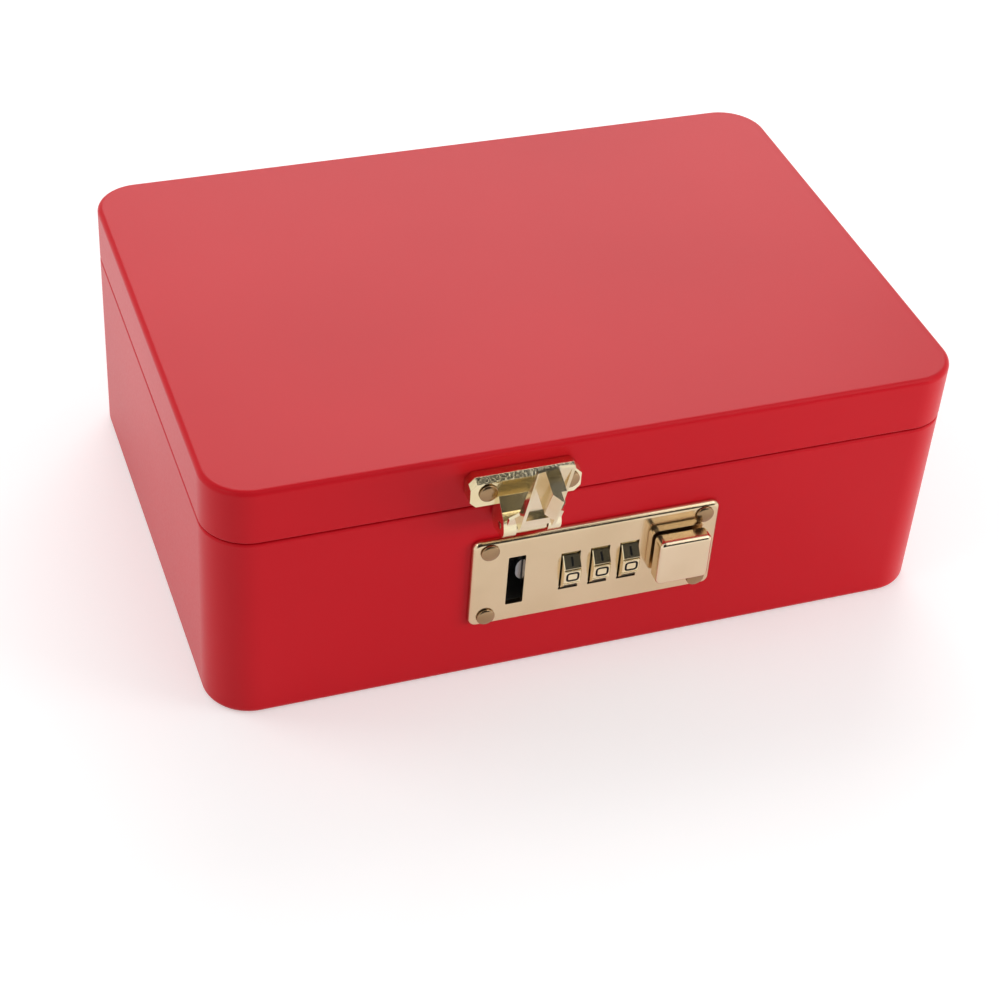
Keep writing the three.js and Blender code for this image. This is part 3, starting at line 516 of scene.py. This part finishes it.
def pressings():
    lid = rawObject("lid_pressing", closedSurface(lidRings()), [redPaint])
    finishPiece(lid, "lid_shell")
    base = rawObject("base_pressing", closedSurface(baseRings()), [redPaint])
    gap, reach = shell["caseGap"], shell["cutReach"]
    opening = rawObject("tool", blockSurface([caseLow[0] - gap, wallY - reach, caseLow[2] - gap],
                                             [caseHigh[0] + gap, wallY + reach, caseHigh[2] + gap]))
    cut(base, [opening])
    finishPiece(base, "base_shell")


pressings()
print("pressings made")


# The lock plate: a rounded casting with a raised collar, three wheel windows and the staple slot. Places
# are from the plate's middle, and the stem's slot is from the button's middle.
plate = {"corner": 2.8, "round": 1.7, "roundSteps": 8, "back": 0.2, "edge": 0.18, "hold": 0.1,
         "slotX": -27.1, "slotWidth": 5.8, "slotHeight": 19.8, "slotCorner": 0.4,
         "windowRadius": 9.5, "windowWidth": 6.6,
         "collarWidth": 18.4, "collarHeight": 17.0, "collarCorner": 2.4, "collarRise": 1.3,
         "buttonRise": 2.2, "stemLeft": -5.2, "stemRight": 5.5, "stemHeight": 7.2,
         "cutFrom": -3, "cutTo": 6, "cutSteps": 4, "cutHold": 0.02}
plateLevel = (plateLow[2] + plateHigh[2]) / 2
plateFront = wallY - plateLow[1] - plate["collarRise"]
buttonX = (capLow[0] + capHigh[0]) / 2
wheelNames = ["number_wheel_1", "number_wheel_2", "number_wheel_3"]


def lockPlate():
    rounding, hold = plate["round"], plate["hold"]
    rows = [[0, plate["back"]], [0, plateFront - rounding - hold]]
    rows += bendRows(rounding, plateFront - rounding, rounding, 0, 90, plate["roundSteps"])
    rows += [[rounding + hold, plateFront]]
    body = stackedRings(plateHigh[0] - plateLow[0], plateHigh[2] - plateLow[2], plate["corner"], rows,
                        hold=hold)
    made = rawObject("lock_plate_casting", closedSurface(onFront(body, level=plateLevel)), [paleBrass])
    collar = stackedRings(plate["collarWidth"], plate["collarHeight"], plate["collarCorner"],
                          [[0, plateFront - rounding], [0, plateFront + plate["collarRise"]]],
                          (0, plate["buttonRise"]), hold=hold)
    cut(made, [rawObject("tool", closedSurface(onFront(collar, x=buttonX, level=plateLevel)))], "UNION")

    def slotTool(width, height, middle):
        rings = stackedRings(width, height, plate["slotCorner"], [[0, plate["cutFrom"]], [0, plate["cutTo"]]],
                             middle, steps=plate["cutSteps"], hold=plate["cutHold"])
        return rawObject("tool", closedSurface(onFront(rings, level=plateLevel)))

    left, right = plate["stemLeft"], plate["stemRight"]
    tools = [slotTool(plate["slotWidth"], plate["slotHeight"], (plate["slotX"], wheelAxis[2] - plateLevel)),
             slotTool(right - left, plate["stemHeight"], (buttonX + (left + right) / 2, plate["buttonRise"]))]
    for name in wheelNames:
        low, high = boxOf(name)
        middle, half = (low[0] + high[0]) / 2, plate["windowWidth"] / 2
        tools.append(rawObject("tool", barSurface(plate["windowRadius"], middle - half, middle + half,
                                                  wheelAxis[1], wheelAxis[2])))
    cut(made, tools)
    roundEdges(made, plate["edge"], 3, 40)
    finishPiece(made, "lock_plate", sharp=50)


lockPlate()


# Rivets: a low dome with a short upright rim on a shank with a closed tail
rivet = {"rim": 0.25, "foot": 0.1, "shank": 1.5, "tail": 2.2, "tailHeight": 0.7, "tailChamfer": 0.3,
         "tailMiddle": 0.4, "crown": 0.15, "frontDome": 1.1, "backDome": 0.9, "steps": 12}


# The hood is a quarter ellipse: r = head cos t, h = rim + (dome - rim) sin t
def rivetRings(head, dome, length):
    t = np.linspace(0, math.pi / 2, rivet["steps"] + 1)[:-1]
    hood = np.stack([head * np.cos(t), rivet["rim"] + (dome - rivet["rim"]) * np.sin(t)], -1)
    tail, shank, foot, chamfer = rivet["tail"], rivet["shank"], rivet["foot"], rivet["tailChamfer"]
    top, end = -length, -length - rivet["tailHeight"]
    rows = [[rivet["tailMiddle"], end], [tail - chamfer, end], [tail, end + chamfer], [tail, top],
            [shank, top], [shank, 0], [head - foot, 0], [head, foot]]
    return turnedRings(rows + hood.tolist() + [[rivet["crown"], dome]])


# A rivet in its node's room, with the head's top at the side that it faces: -1 is the front and 1 the back
def rivetPiece(node, finish, dome, facing):
    low, high = boxOf(node)
    middle = (low + high) / 2
    top = middle[1] + facing * (high[1] - low[1]) / 2
    rings = rivetRings((high[0] - low[0]) / 2, dome, high[1] - low[1] - dome - rivet["tailHeight"])
    points = np.stack([middle[0] - facing * rings[..., 0], top - facing * (dome - rings[..., 2]),
                       middle[2] + rings[..., 1]], -1)
    finishPiece(rawObject(node + "_fine", closedSurface(points), [finish]), node)


for number in range(1, 5):
    rivetPiece(f"lock_rivet_{number}", rivetBronze, rivet["frontDome"], -1)
    rivetPiece(f"lid_leaf_rivet_{number}", redPaint, rivet["backDome"], 1)
    rivetPiece(f"base_leaf_rivet_{number}", redPaint, rivet["backDome"], 1)
for number in (1, 2):
    rivetPiece(f"hasp_rivet_{number}", rivetBronze, rivet["frontDome"], -1)
print("lock plate and rivets made")


# The number wheels: ten flat facets with a groove between each two and a filled number on each
wheel = {"radius": 9.2, "bore": 3.6, "facets": 10, "firstLine": 16.5, "groove": 0.7, "grooveDepth": 0.55,
         "chamfer": 0.25, "lip": 0.18, "flatHalf": 1, "numberWidth": 4.5, "numberHeight": 3.8,
         "stroke": 0.72, "proud": 0.03, "sunk": 0.2, "cornerRound": 1.0}
facetHalf = math.pi / wheel["facets"]
facetFlat = wheel["radius"] * math.cos(facetHalf)


# One facet's outline, seen along the axis: out of the groove, over a small lip and along the flat. The
# facet's frame is its chord (u) and the distance from the axis (v); the whole section turns it ten times.
def wheelSection():
    flat, floor, lip = facetFlat, facetFlat - wheel["grooveDepth"], wheel["lip"]
    end = wheel["radius"] * math.sin(facetHalf) - wheel["groove"] / 2
    half = wheel["flatHalf"]
    u = np.array([-end - wheel["groove"] / 2, -end, -end, -end + lip, -end + 2 * lip, -half, half,
                  end - 2 * lip, end - lip, end, end])
    v = np.array([floor, floor, flat - lip, flat, flat, flat, flat, flat, flat, flat - lip, floor])
    middle = math.radians(wheel["firstLine"]) + facetHalf + np.arange(wheel["facets"]) * 2 * facetHalf
    out = v * np.cos(middle)[:, None] - u * np.sin(middle)[:, None]
    up = v * np.sin(middle)[:, None] + u * np.cos(middle)[:, None]
    return np.stack([out.ravel(), up.ravel()], -1)


# The drum: the section carried along x with its sides chamfered, then back through the round bore. The
# bore's points take the angles of the section's points, so the rings match.
def wheelSurface(width):
    section = wheelSection()
    half = width / 2
    chamfer = wheel["chamfer"]
    reach = np.linalg.norm(section, axis=1, keepdims=True)
    shrunk = section * (1 - chamfer / reach)
    bore = section / reach * wheel["bore"]
    layers = [(bore, -half), (shrunk, -half), (section, chamfer - half), (section, half - chamfer),
              (shrunk, half), (bore, half)]
    rings = np.stack([np.column_stack([np.full(len(ring), x), -ring[:, 0], ring[:, 1]])
                      for ring, x in layers])
    faces = gridFaces(*rings.shape[:2])
    count = rings.shape[1]
    last = (len(layers) - 1) * count
    faces += [[last + i, last + (i + 1) % count, (i + 1) % count, i] for i in range(count)]
    return rings.reshape(-1, 3), faces


# Numbers as strokes on a grid of 0, 1, 2 across and 0, 1, 2 up; a closed loop ends where it starts
numberStrokes = [
    [[(1, 0), (2, 0), (2, 2), (0, 2), (0, 0), (1, 0)]],
    [[(1, 0), (1, 2)]],
    [[(0, 2), (2, 2), (2, 1), (0, 1), (0, 0), (2, 0)]],
    [[(0, 2), (2, 2), (2, 0), (0, 0)], [(0.4, 1), (2, 1)]],
    [[(0, 2), (0, 1), (2, 1)], [(1.5, 2), (1.5, 0)]],
    [[(2, 2), (0, 2), (0, 1), (2, 1), (2, 0), (0, 0)]],
    [[(2, 2), (0, 2), (0, 0), (2, 0), (2, 1), (0, 1)]],
    [[(0, 2), (2, 2), (2, 1.6), (1, 0)]],
    [[(1, 0), (2, 0), (2, 2), (0, 2), (0, 0), (1, 0)], [(0, 1), (2, 1)]],
    [[(2, 1), (0, 1), (0, 2), (2, 2), (2, 0), (0, 0)]],
]


# A path with its inner corners rounded: each becomes a quadratic curve between points cut back from it,
# by no more than a share of the straight
def roundedPath(points, cornerRound, mostShare=0.48, steps=6):
    points = np.asarray(points, float)
    if len(points) < 3:
        return points
    before, here, after = points[:-2], points[1:-1], points[2:]
    backLength = np.linalg.norm(before - here, axis=1, keepdims=True)
    onLength = np.linalg.norm(after - here, axis=1, keepdims=True)
    back = here + (before - here) * np.minimum(mostShare, cornerRound / backLength)
    onward = here + (after - here) * np.minimum(mostShare, cornerRound / onLength)
    t = np.linspace(0, 1, steps + 1)[None, :, None]
    curve = (1 - t) ** 2 * back[:, None] + 2 * t * (1 - t) * here[:, None] + t ** 2 * onward[:, None]
    return np.concatenate([points[:1], curve.reshape(-1, 2), points[-1:]])


# A stroke is the strip between two copies of its path, each moved half the stroke's width sideways
def strokeStrip(path):
    path = roundedPath(path, wheel["cornerRound"])
    along = np.gradient(path, axis=0)
    along = along / np.linalg.norm(along, axis=1, keepdims=True)
    sideways = np.stack([-along[:, 1], along[:, 0]], -1) * wheel["stroke"] / 2
    return path + sideways, path - sideways


# The strips of one number laid on its facet, as flat solids that stand a hair proud
def numberSurface(number):
    angle = math.radians(wheel["firstLine"]) - facetHalf + number * 2 * facetHalf
    surfaces = []
    for stroke in numberStrokes[number]:
        grid = (np.asarray(stroke, float) - 1) / 2
        left, right = strokeStrip(grid * [wheel["numberWidth"] - wheel["stroke"],
                                          wheel["numberHeight"] - wheel["stroke"]])
        count = len(left)
        layers = []
        for height in (facetFlat - wheel["sunk"], facetFlat + wheel["proud"]):
            for side in (left, right):
                out = height * math.cos(angle) - side[:, 1] * math.sin(angle)
                up = height * math.sin(angle) + side[:, 1] * math.cos(angle)
                layers.append(np.column_stack([side[:, 0], -out, up]))
        lowLeft, lowRight, highLeft, highRight = (np.arange(count) + k * count for k in range(4))
        rings = np.stack([lowLeft, lowRight, highRight, highLeft], -1)
        faces = [[int(a[k]), int(b[k]), int(b[(k + 1) % 4]), int(a[(k + 1) % 4])]
                 for a, b in zip(rings[:-1], rings[1:]) for k in range(4)]
        faces += [rings[0].tolist()[::-1], rings[-1].tolist()]
        surfaces.append((np.concatenate(layers), faces))
    return joinSurfaces(*surfaces)


def numberWheels():
    for number, name in enumerate(wheelNames, 1):
        low, high = boxOf(name)
        place = np.array([(low[0] + high[0]) / 2, wheelAxis[1], wheelAxis[2]])
        drum = wheelSurface(high[0] - low[0])
        numbers = joinSurfaces(*[numberSurface(value) for value in range(wheel["facets"])])
        points, faces = joinSurfaces(drum, numbers)
        made = rawObject(f"dial_{number}_drum", (points + place, faces), [wheelBrass, blackPaint])
        painted = np.zeros(len(made.data.polygons), dtype=np.int32)
        painted[len(drum[1]):] = 1
        made.data.polygons.foreach_set("material_index", painted)
        turnFacesOut(made.data)
        finishPiece(made, name, sharp=25)


numberWheels()


# The button: a cap with a softly rounded front and tight corners on its stem. The cap reaches a
# little further right and down than its solid.
button = {"corner": 1.9, "frontRound": 1.5, "frontSteps": 12, "backRound": 0.55, "backSteps": 5, "back": 4.8,
          "hold": 0.1, "wider": 0.4, "lower": 0.6, "stemWidth": 4.4, "stemHeight": 6.6, "stemCorner": 0.3,
          "stemOverlap": 1, "stemSteps": 3, "stemHold": 0.05}


def buttonCap():
    out, back, hold = wallY - capLow[1], button["back"], button["hold"]
    backRound, frontRound = button["backRound"], button["frontRound"]
    wider, lower = button["wider"], button["lower"]
    level = (capLow[2] + capHigh[2]) / 2
    rows = [[backRound + hold, back]]
    rows += bendRows(backRound, back + backRound, backRound, -90, 0, button["backSteps"])
    rows += [[0, back + backRound + hold], [0, out - frontRound - hold]]
    rows += bendRows(frontRound, out - frontRound, frontRound, 0, 90, button["frontSteps"])
    rows += [[frontRound + hold, out]]
    cap = stackedRings(capHigh[0] - capLow[0] + wider, capHigh[2] - capLow[2] + lower, button["corner"], rows,
                       hold=hold)
    stem = stackedRings(button["stemWidth"], button["stemHeight"], button["stemCorner"],
                        [[0, wallY - capHigh[1]], [0, back + button["stemOverlap"]]],
                        steps=button["stemSteps"], hold=button["stemHold"])
    both = joinSurfaces(closedSurface(onFront(cap, x=buttonX + wider / 2, level=level - lower / 2)),
                        closedSurface(onFront(stem, x=buttonX, level=level)))
    finishPiece(rawObject("button_cap_fine", both, [brightBrass]), "button_cap", sharp=45)


buttonCap()
print("wheels and button made")


# The hasp bracket, about the pin: x from the pin's middle, up from its axis and out from the wall. Its side
# is an outline of up and out, and its taper one of x and up.
bracket = {"left": -18.95, "right": 16.95, "low": 7.3, "high": 17, "corner": 2.0, "back": 0.2,
           "topFall": 0.5, "bevelOut": 3.9, "front": 6.3, "bevelDrop": 1.0, "edge": 0.2,
           "lobe": 3.9, "lobeOut": 8,
           "side": [(10.2, 6.3), (6.4, 9.72), (3.5, 11.1), (0.8, 11.8), (-2.55, 8.93), (-4.3, 4.76),
                    (-4.5, 3.1), (-2.7, 1.2), (2.3, 1.2), (3.5, 0.2), (15, 0.3), (15, 5)],
           "taper": [(-9.75, 18), (-9.75, 8), (-9.4, 3.9), (-9.4, -8), (9.4, -8), (9.4, 3.9), (11.0, 6.2),
                     (11.0, 18)],
           "barrelRoom": 3.75, "barrelHalf": 5.2, "barrelTop": 2.3, "barrelBack": 3.7, "barrelLow": 8,
           "bore": 1.25, "rivetHole": 1.55, "holeSteps": 32, "cutReach": 15, "holeFrom": -1, "holeTo": 8,
           "taperFrom": -1, "taperTo": 20, "pittedFrom": 1.1}
bracketBrass = plated("brass_bracket_casting", rgb(0.86, 0.77, 0.56), rgb(0.74, 0.62, 0.37), rough=0.10,
                      lines=0.05, pits=0.6, deeperPits=6.0,
                      deeperAbove=pinPlace[2] + bracket["high"] - bracket["pittedFrom"])


# The ears: an eight-cornered outline carried out from the wall. The top rows fall towards the wall and,
# past the bevel's start, towards the front.
def earRings():
    left, right, low, high = (bracket[key] for key in ("left", "right", "low", "high"))
    corner = bracket["corner"]
    rings = []
    for out, fall in ((bracket["back"], bracket["topFall"]), (bracket["bevelOut"], 0),
                      (bracket["front"], bracket["bevelDrop"])):
        top = high - fall
        rings.append([(left + corner, low, out), (right - corner, low, out), (right, low + corner, out),
                      (right, top - corner, out), (right - corner, top, out), (left + corner, top, out),
                      (left, top - corner, out), (left, low + corner, out)])
    return np.array(rings)


def haspBracket():
    x, level = pinPlace[0], pinPlace[2]
    axisY, half, reach = wallY - bracket["lobeOut"], bracket["barrelHalf"], bracket["cutReach"]
    steps = bracket["holeSteps"]

    # A solid about the pin: from x, up and out
    def solid(name, rings):
        return rawObject(name, closedSurface(onFront(rings, x=x, level=level)), [bracketBrass])

    def bar(radius, first, last, steps=96):
        return rawObject("tool", barSurface(radius, x + first, x + last, axisY, level, steps))

    made = solid("hasp_bracket_casting", earRings())
    across = [place[0] for place in bracket["taper"]]
    side = prism(bracket["side"], min(across), max(across))[..., [2, 0, 1]]
    housing = solid("tool", side)
    cut(housing, [bar(bracket["lobe"], min(across), max(across))], "UNION")
    cut(housing, [solid("tool", prism(bracket["taper"], bracket["taperFrom"], bracket["taperTo"]))],
        "INTERSECT")
    cut(made, [housing], "UNION")
    tools = [bar(bracket["barrelRoom"], -half, half),
             rawObject("tool", blockSurface([x - half, wallY - reach, level - bracket["barrelLow"]],
                                            [x + half, wallY - bracket["barrelBack"],
                                             level + bracket["barrelTop"]])),
             bar(bracket["bore"], -reach, reach, steps)]
    for number in (1, 2):
        low, high = boxOf(f"hasp_rivet_{number}")
        hole = turnedRings([[bracket["rivetHole"], bracket["holeFrom"]],
                            [bracket["rivetHole"], bracket["holeTo"]]], steps)
        tools.append(rawObject("tool", closedSurface(onFront(hole, x=(low[0] + high[0]) / 2,
                                                             level=(low[2] + high[2]) / 2))))
    cut(made, tools)
    joinFacets(made.data)
    roundEdges(made, bracket["edge"], 3, 15)
    finishPiece(made, "hasp_bracket", sharp=50)


haspBracket()

# The staple's nose: a skin behind its chamfer, so the blade's pocket stays shut on that side
staple = {"skin": [(-2.25, -8.8), (0.15, -11.6), (0.75, -11.2), (-1.65, -8.3)], "from": 22.9, "to": 33.4,
          "opened": -156.5}


# From the hanging flap's frame (x, down from the pin, in from the front) to its place sprung open: the
# section turns about the pin by y' = y cos a - z sin a, z' = y sin a + z cos a
def onFlap(points):
    angle = math.radians(staple["opened"])
    x, y, z = np.moveaxis(np.asarray(points, float), -1, 0)
    up = y * math.cos(angle) - z * math.sin(angle)
    out = y * math.sin(angle) + z * math.cos(angle)
    return np.stack([x + pinPlace[0], pinPlace[1] - out, up + pinPlace[2]], -1)


def staplePatch():
    rings = prism(staple["skin"], -staple["to"], -staple["from"])[..., [0, 2, 1]]
    made = rawObject("tool", closedSurface(onFlap(rings)))
    turnFacesOut(made.data)
    return made


# Castings, leaves and the pieces inside the lock: their own solids with rounded edges
softened("hasp_flap", "hasp_flap_casting", castBrass, 0.22, segments=3, angle=20, added=[staplePatch()])
softened("hasp_pin", "hasp_pin_fine", rivetBronze, 0.2)
for side in ("left", "right"):
    softened(f"hinge_lid_leaf_{side}", f"lid_leaf_{side}", redPaint, 0.22)
    softened(f"hinge_base_leaf_{side}", f"base_leaf_{side}", redPaint, 0.22)
    softened(f"hinge_pin_{side}", f"leaf_pin_{side}", rivetBronze, 0.2)
softened("lock_case", "case_casting", dullZinc, 0.15)
softened("lock_back_cover", "case_cover", dullZinc, 0.2)
softened("bolt_blade", "bolt_blade_fine", boltSteel, 0.2)
softened("bolt_shaft", "bolt_shaft_fine", boltSteel, 0.1)
softened("button_slider", "slider_casting", dullZinc, 0.2)
softened("change_lever", "change_lever_fine", dullZinc, 0.25)
softened("detent_spring", "detent_strip", boltSteel, 0.06)
for number in range(1, 4):
    softened(f"clutch_sleeve_{number}", f"clutch_sleeve_{number}_fine", dullZinc, 0.1)
for number in range(1, 5):
    softened(f"cover_screw_{number}", f"cover_screw_{number}_fine", boltSteel, 0.15)

# The two coil springs, wound from round wire inside the room of their solids. The return spring, whose left end is
# listed with the bolt, is not attached to a body.
coil = {"wire": 0.33, "room": 0.05, "turns": {"return_spring": 6, "hasp_spring": 5},
        "leftEnd": {"return_spring": "bolt"}}


def coilSpring(node, turns):
    low, high = boxOf(node)
    wire, room = coil["wire"], coil["room"]
    middle = (low + high) / 2
    rings = coilRings([low[0] + wire + room, middle[1], middle[2]], high[0] - low[0] - 2 * (wire + room),
                      (high[1] - low[1]) / 2 - wire - room, turns, wire)
    made = rawObject(node + "_wound", closedSurface(rings), [boltSteel])
    turnFacesOut(made.data)
    endBody = coil["leftEnd"].get(node)
    finishPiece(made, node, rides=not endBody)
    if endBody:
        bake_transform(made)


for node, turns in coil["turns"].items():
    coilSpring(node, turns)
print("castings and springs made")


# Studio, in metres: a pale floor that fades to white away from the box, a white surround, soft lamps and
# cards that only gloss sees. A card is an arc about X, from one angle above the front to another, from
# its left to its right, and as bright as its tone.
studio = {"floorHalf": 3.0, "floorLevel": -0.0002, "floorColour": rgb(0.80, 0.80, 0.80), "floorGlow": 0.36,
          "floorFade": (0.6, 1.0), "surround": 0.57, "cardReach": 1.7, "cardSteps": 12,
          "cards": {"dark_low": (2, 36, -1.3, 1.3, 0.04), "dark_middle": (36, 64, -1.3, 0.62, 0.04),
                    "dark_high": (80, 100, -1.3, 0.62, 0.04), "bright_right": (37, 80, 0.66, 1.6, 2.4)}}


# A surface of the studio, in metres
def stageObject(name, points, faces, finish):
    mesh = bpy.data.meshes.new(name)
    mesh.from_pydata(points, [], faces)
    mesh.materials.append(finish)
    made = addObject(name, mesh)
    return made


# One where the ray comes from the camera or by way of a mirror or glass, zero otherwise
def seenRays(make):
    camera, gloss, glass = (make.ray(kind) for kind in ("Camera", "Glossy", "Transmission"))
    return camera.maths("MAXIMUM", camera, gloss.maths("MAXIMUM", gloss, glass))


def floorFinish():
    make = newFinish("studio_floor")
    plain = make.node("ShaderNodeBsdfDiffuse", {}, {"Color": studio["floorColour"]})
    out = make.node("ShaderNodeVectorMath", {"operation": "LENGTH"}, {0: make.place()}, output="Value")
    faded = make.ray("Camera") * make.between(out, *studio["floorFade"])
    glow = make.node("ShaderNodeEmission", {}, {"Strength": seenRays(make) * studio["floorGlow"] + faded})
    both = make.node("ShaderNodeAddShader", {}, {0: plain, 1: glow})
    make.node("ShaderNodeOutputMaterial", {}, {"Surface": both})
    return make.owner


def surroundWorld():
    world = bpy.data.worlds.new("surround")
    bpy.context.scene.world = world
    make = Finish(world)
    strength = seenRays(make) * (1 - studio["surround"]) + studio["surround"]
    light = make.node("ShaderNodeBackground", {}, {"Color": rgb(1, 1, 1), "Strength": strength})
    make.node("ShaderNodeOutputWorld", {}, {"Surface": light})


# Points run x from left to right and round the arc: y = -reach cos a, z = reach sin a
def glossCards():
    reach, steps = studio["cardReach"], studio["cardSteps"]
    for name, (first, last, left, right, tone) in studio["cards"].items():
        make = newFinish(name)
        glow = make.node("ShaderNodeEmission", {}, {"Color": rgb(1, 1, 1), "Strength": tone})
        make.node("ShaderNodeOutputMaterial", {}, {"Surface": glow})
        angle = np.radians(np.linspace(first, last, steps + 1))[:, None]
        side = np.array([left, right])[None, :]
        points = np.stack([side + 0 * angle, -reach * np.cos(angle) + 0 * side,
                           reach * np.sin(angle) + 0 * side], -1)
        faces = [[2 * i, 2 * i + 1, 2 * i + 3, 2 * i + 2] for i in range(steps)]
        made = stageObject(name, points.reshape(-1, 3).tolist(), faces, make.owner)
        made.visible_camera = False
        made.visible_diffuse = False
        made.visible_shadow = False
        made.visible_transmission = False


half, level = studio["floorHalf"], studio["floorLevel"]
stageObject("studio_floor", [(-half, -half, level), (half, -half, level), (half, half, level),
                             (-half, half, level)], [[0, 1, 2, 3]], floorFinish())
surroundWorld()
glossCards()

lamps = {
    "back_softbox": {"at": (0.55, 1.45, 1.35), "size": 1.3, "watts": 14.2, "gloss": True},
    "front_fill": {"at": (0.95, -0.65, 0.22), "size": 0.5, "watts": 6.9, "gloss": False},
    "left_fill": {"at": (-1.5, 0.9, 0.8), "size": 1.0, "watts": 9, "gloss": False},
    "left_key": {"at": (-0.99, -0.36, 1.06), "size": 0.16, "watts": 0.8, "gloss": True},
}
target = Vector((0, 0, 0.05))
for name, lamp in lamps.items():
    data = bpy.data.lights.new(name, "AREA")
    data.size = lamp["size"]
    data.energy = lamp["watts"]
    made = addObject(name, data)
    made.location = lamp["at"]
    made.visible_glossy = lamp["gloss"]
    made.rotation_euler = (target - Vector(lamp["at"])).to_track_quat("-Z", "Y").to_euler()

# Camera at the photograph's viewing angle
camera = {"at": (-0.23450, -0.57913, 0.51182), "azimuth": 22.209, "elevation": 39.632, "roll": 4.705,
          "lens": 80.66, "sensor": 36}
view = bpy.data.cameras.new("camera")
view.lens = camera["lens"]
view.sensor_width = camera["sensor"]
turn = (Matrix.Rotation(math.radians(-camera["azimuth"]), 4, "Z")
        @ Matrix.Rotation(math.radians(90 - camera["elevation"]), 4, "X")
        @ Matrix.Rotation(math.radians(camera["roll"]), 4, "Z"))
cameraObject = addObject("camera", view)
cameraObject.matrix_world = Matrix.Translation(Vector(camera["at"])) @ turn
bpy.context.scene.camera = cameraObject
bpy.context.scene.view_settings.view_transform = "Standard"
print("studio and camera set")
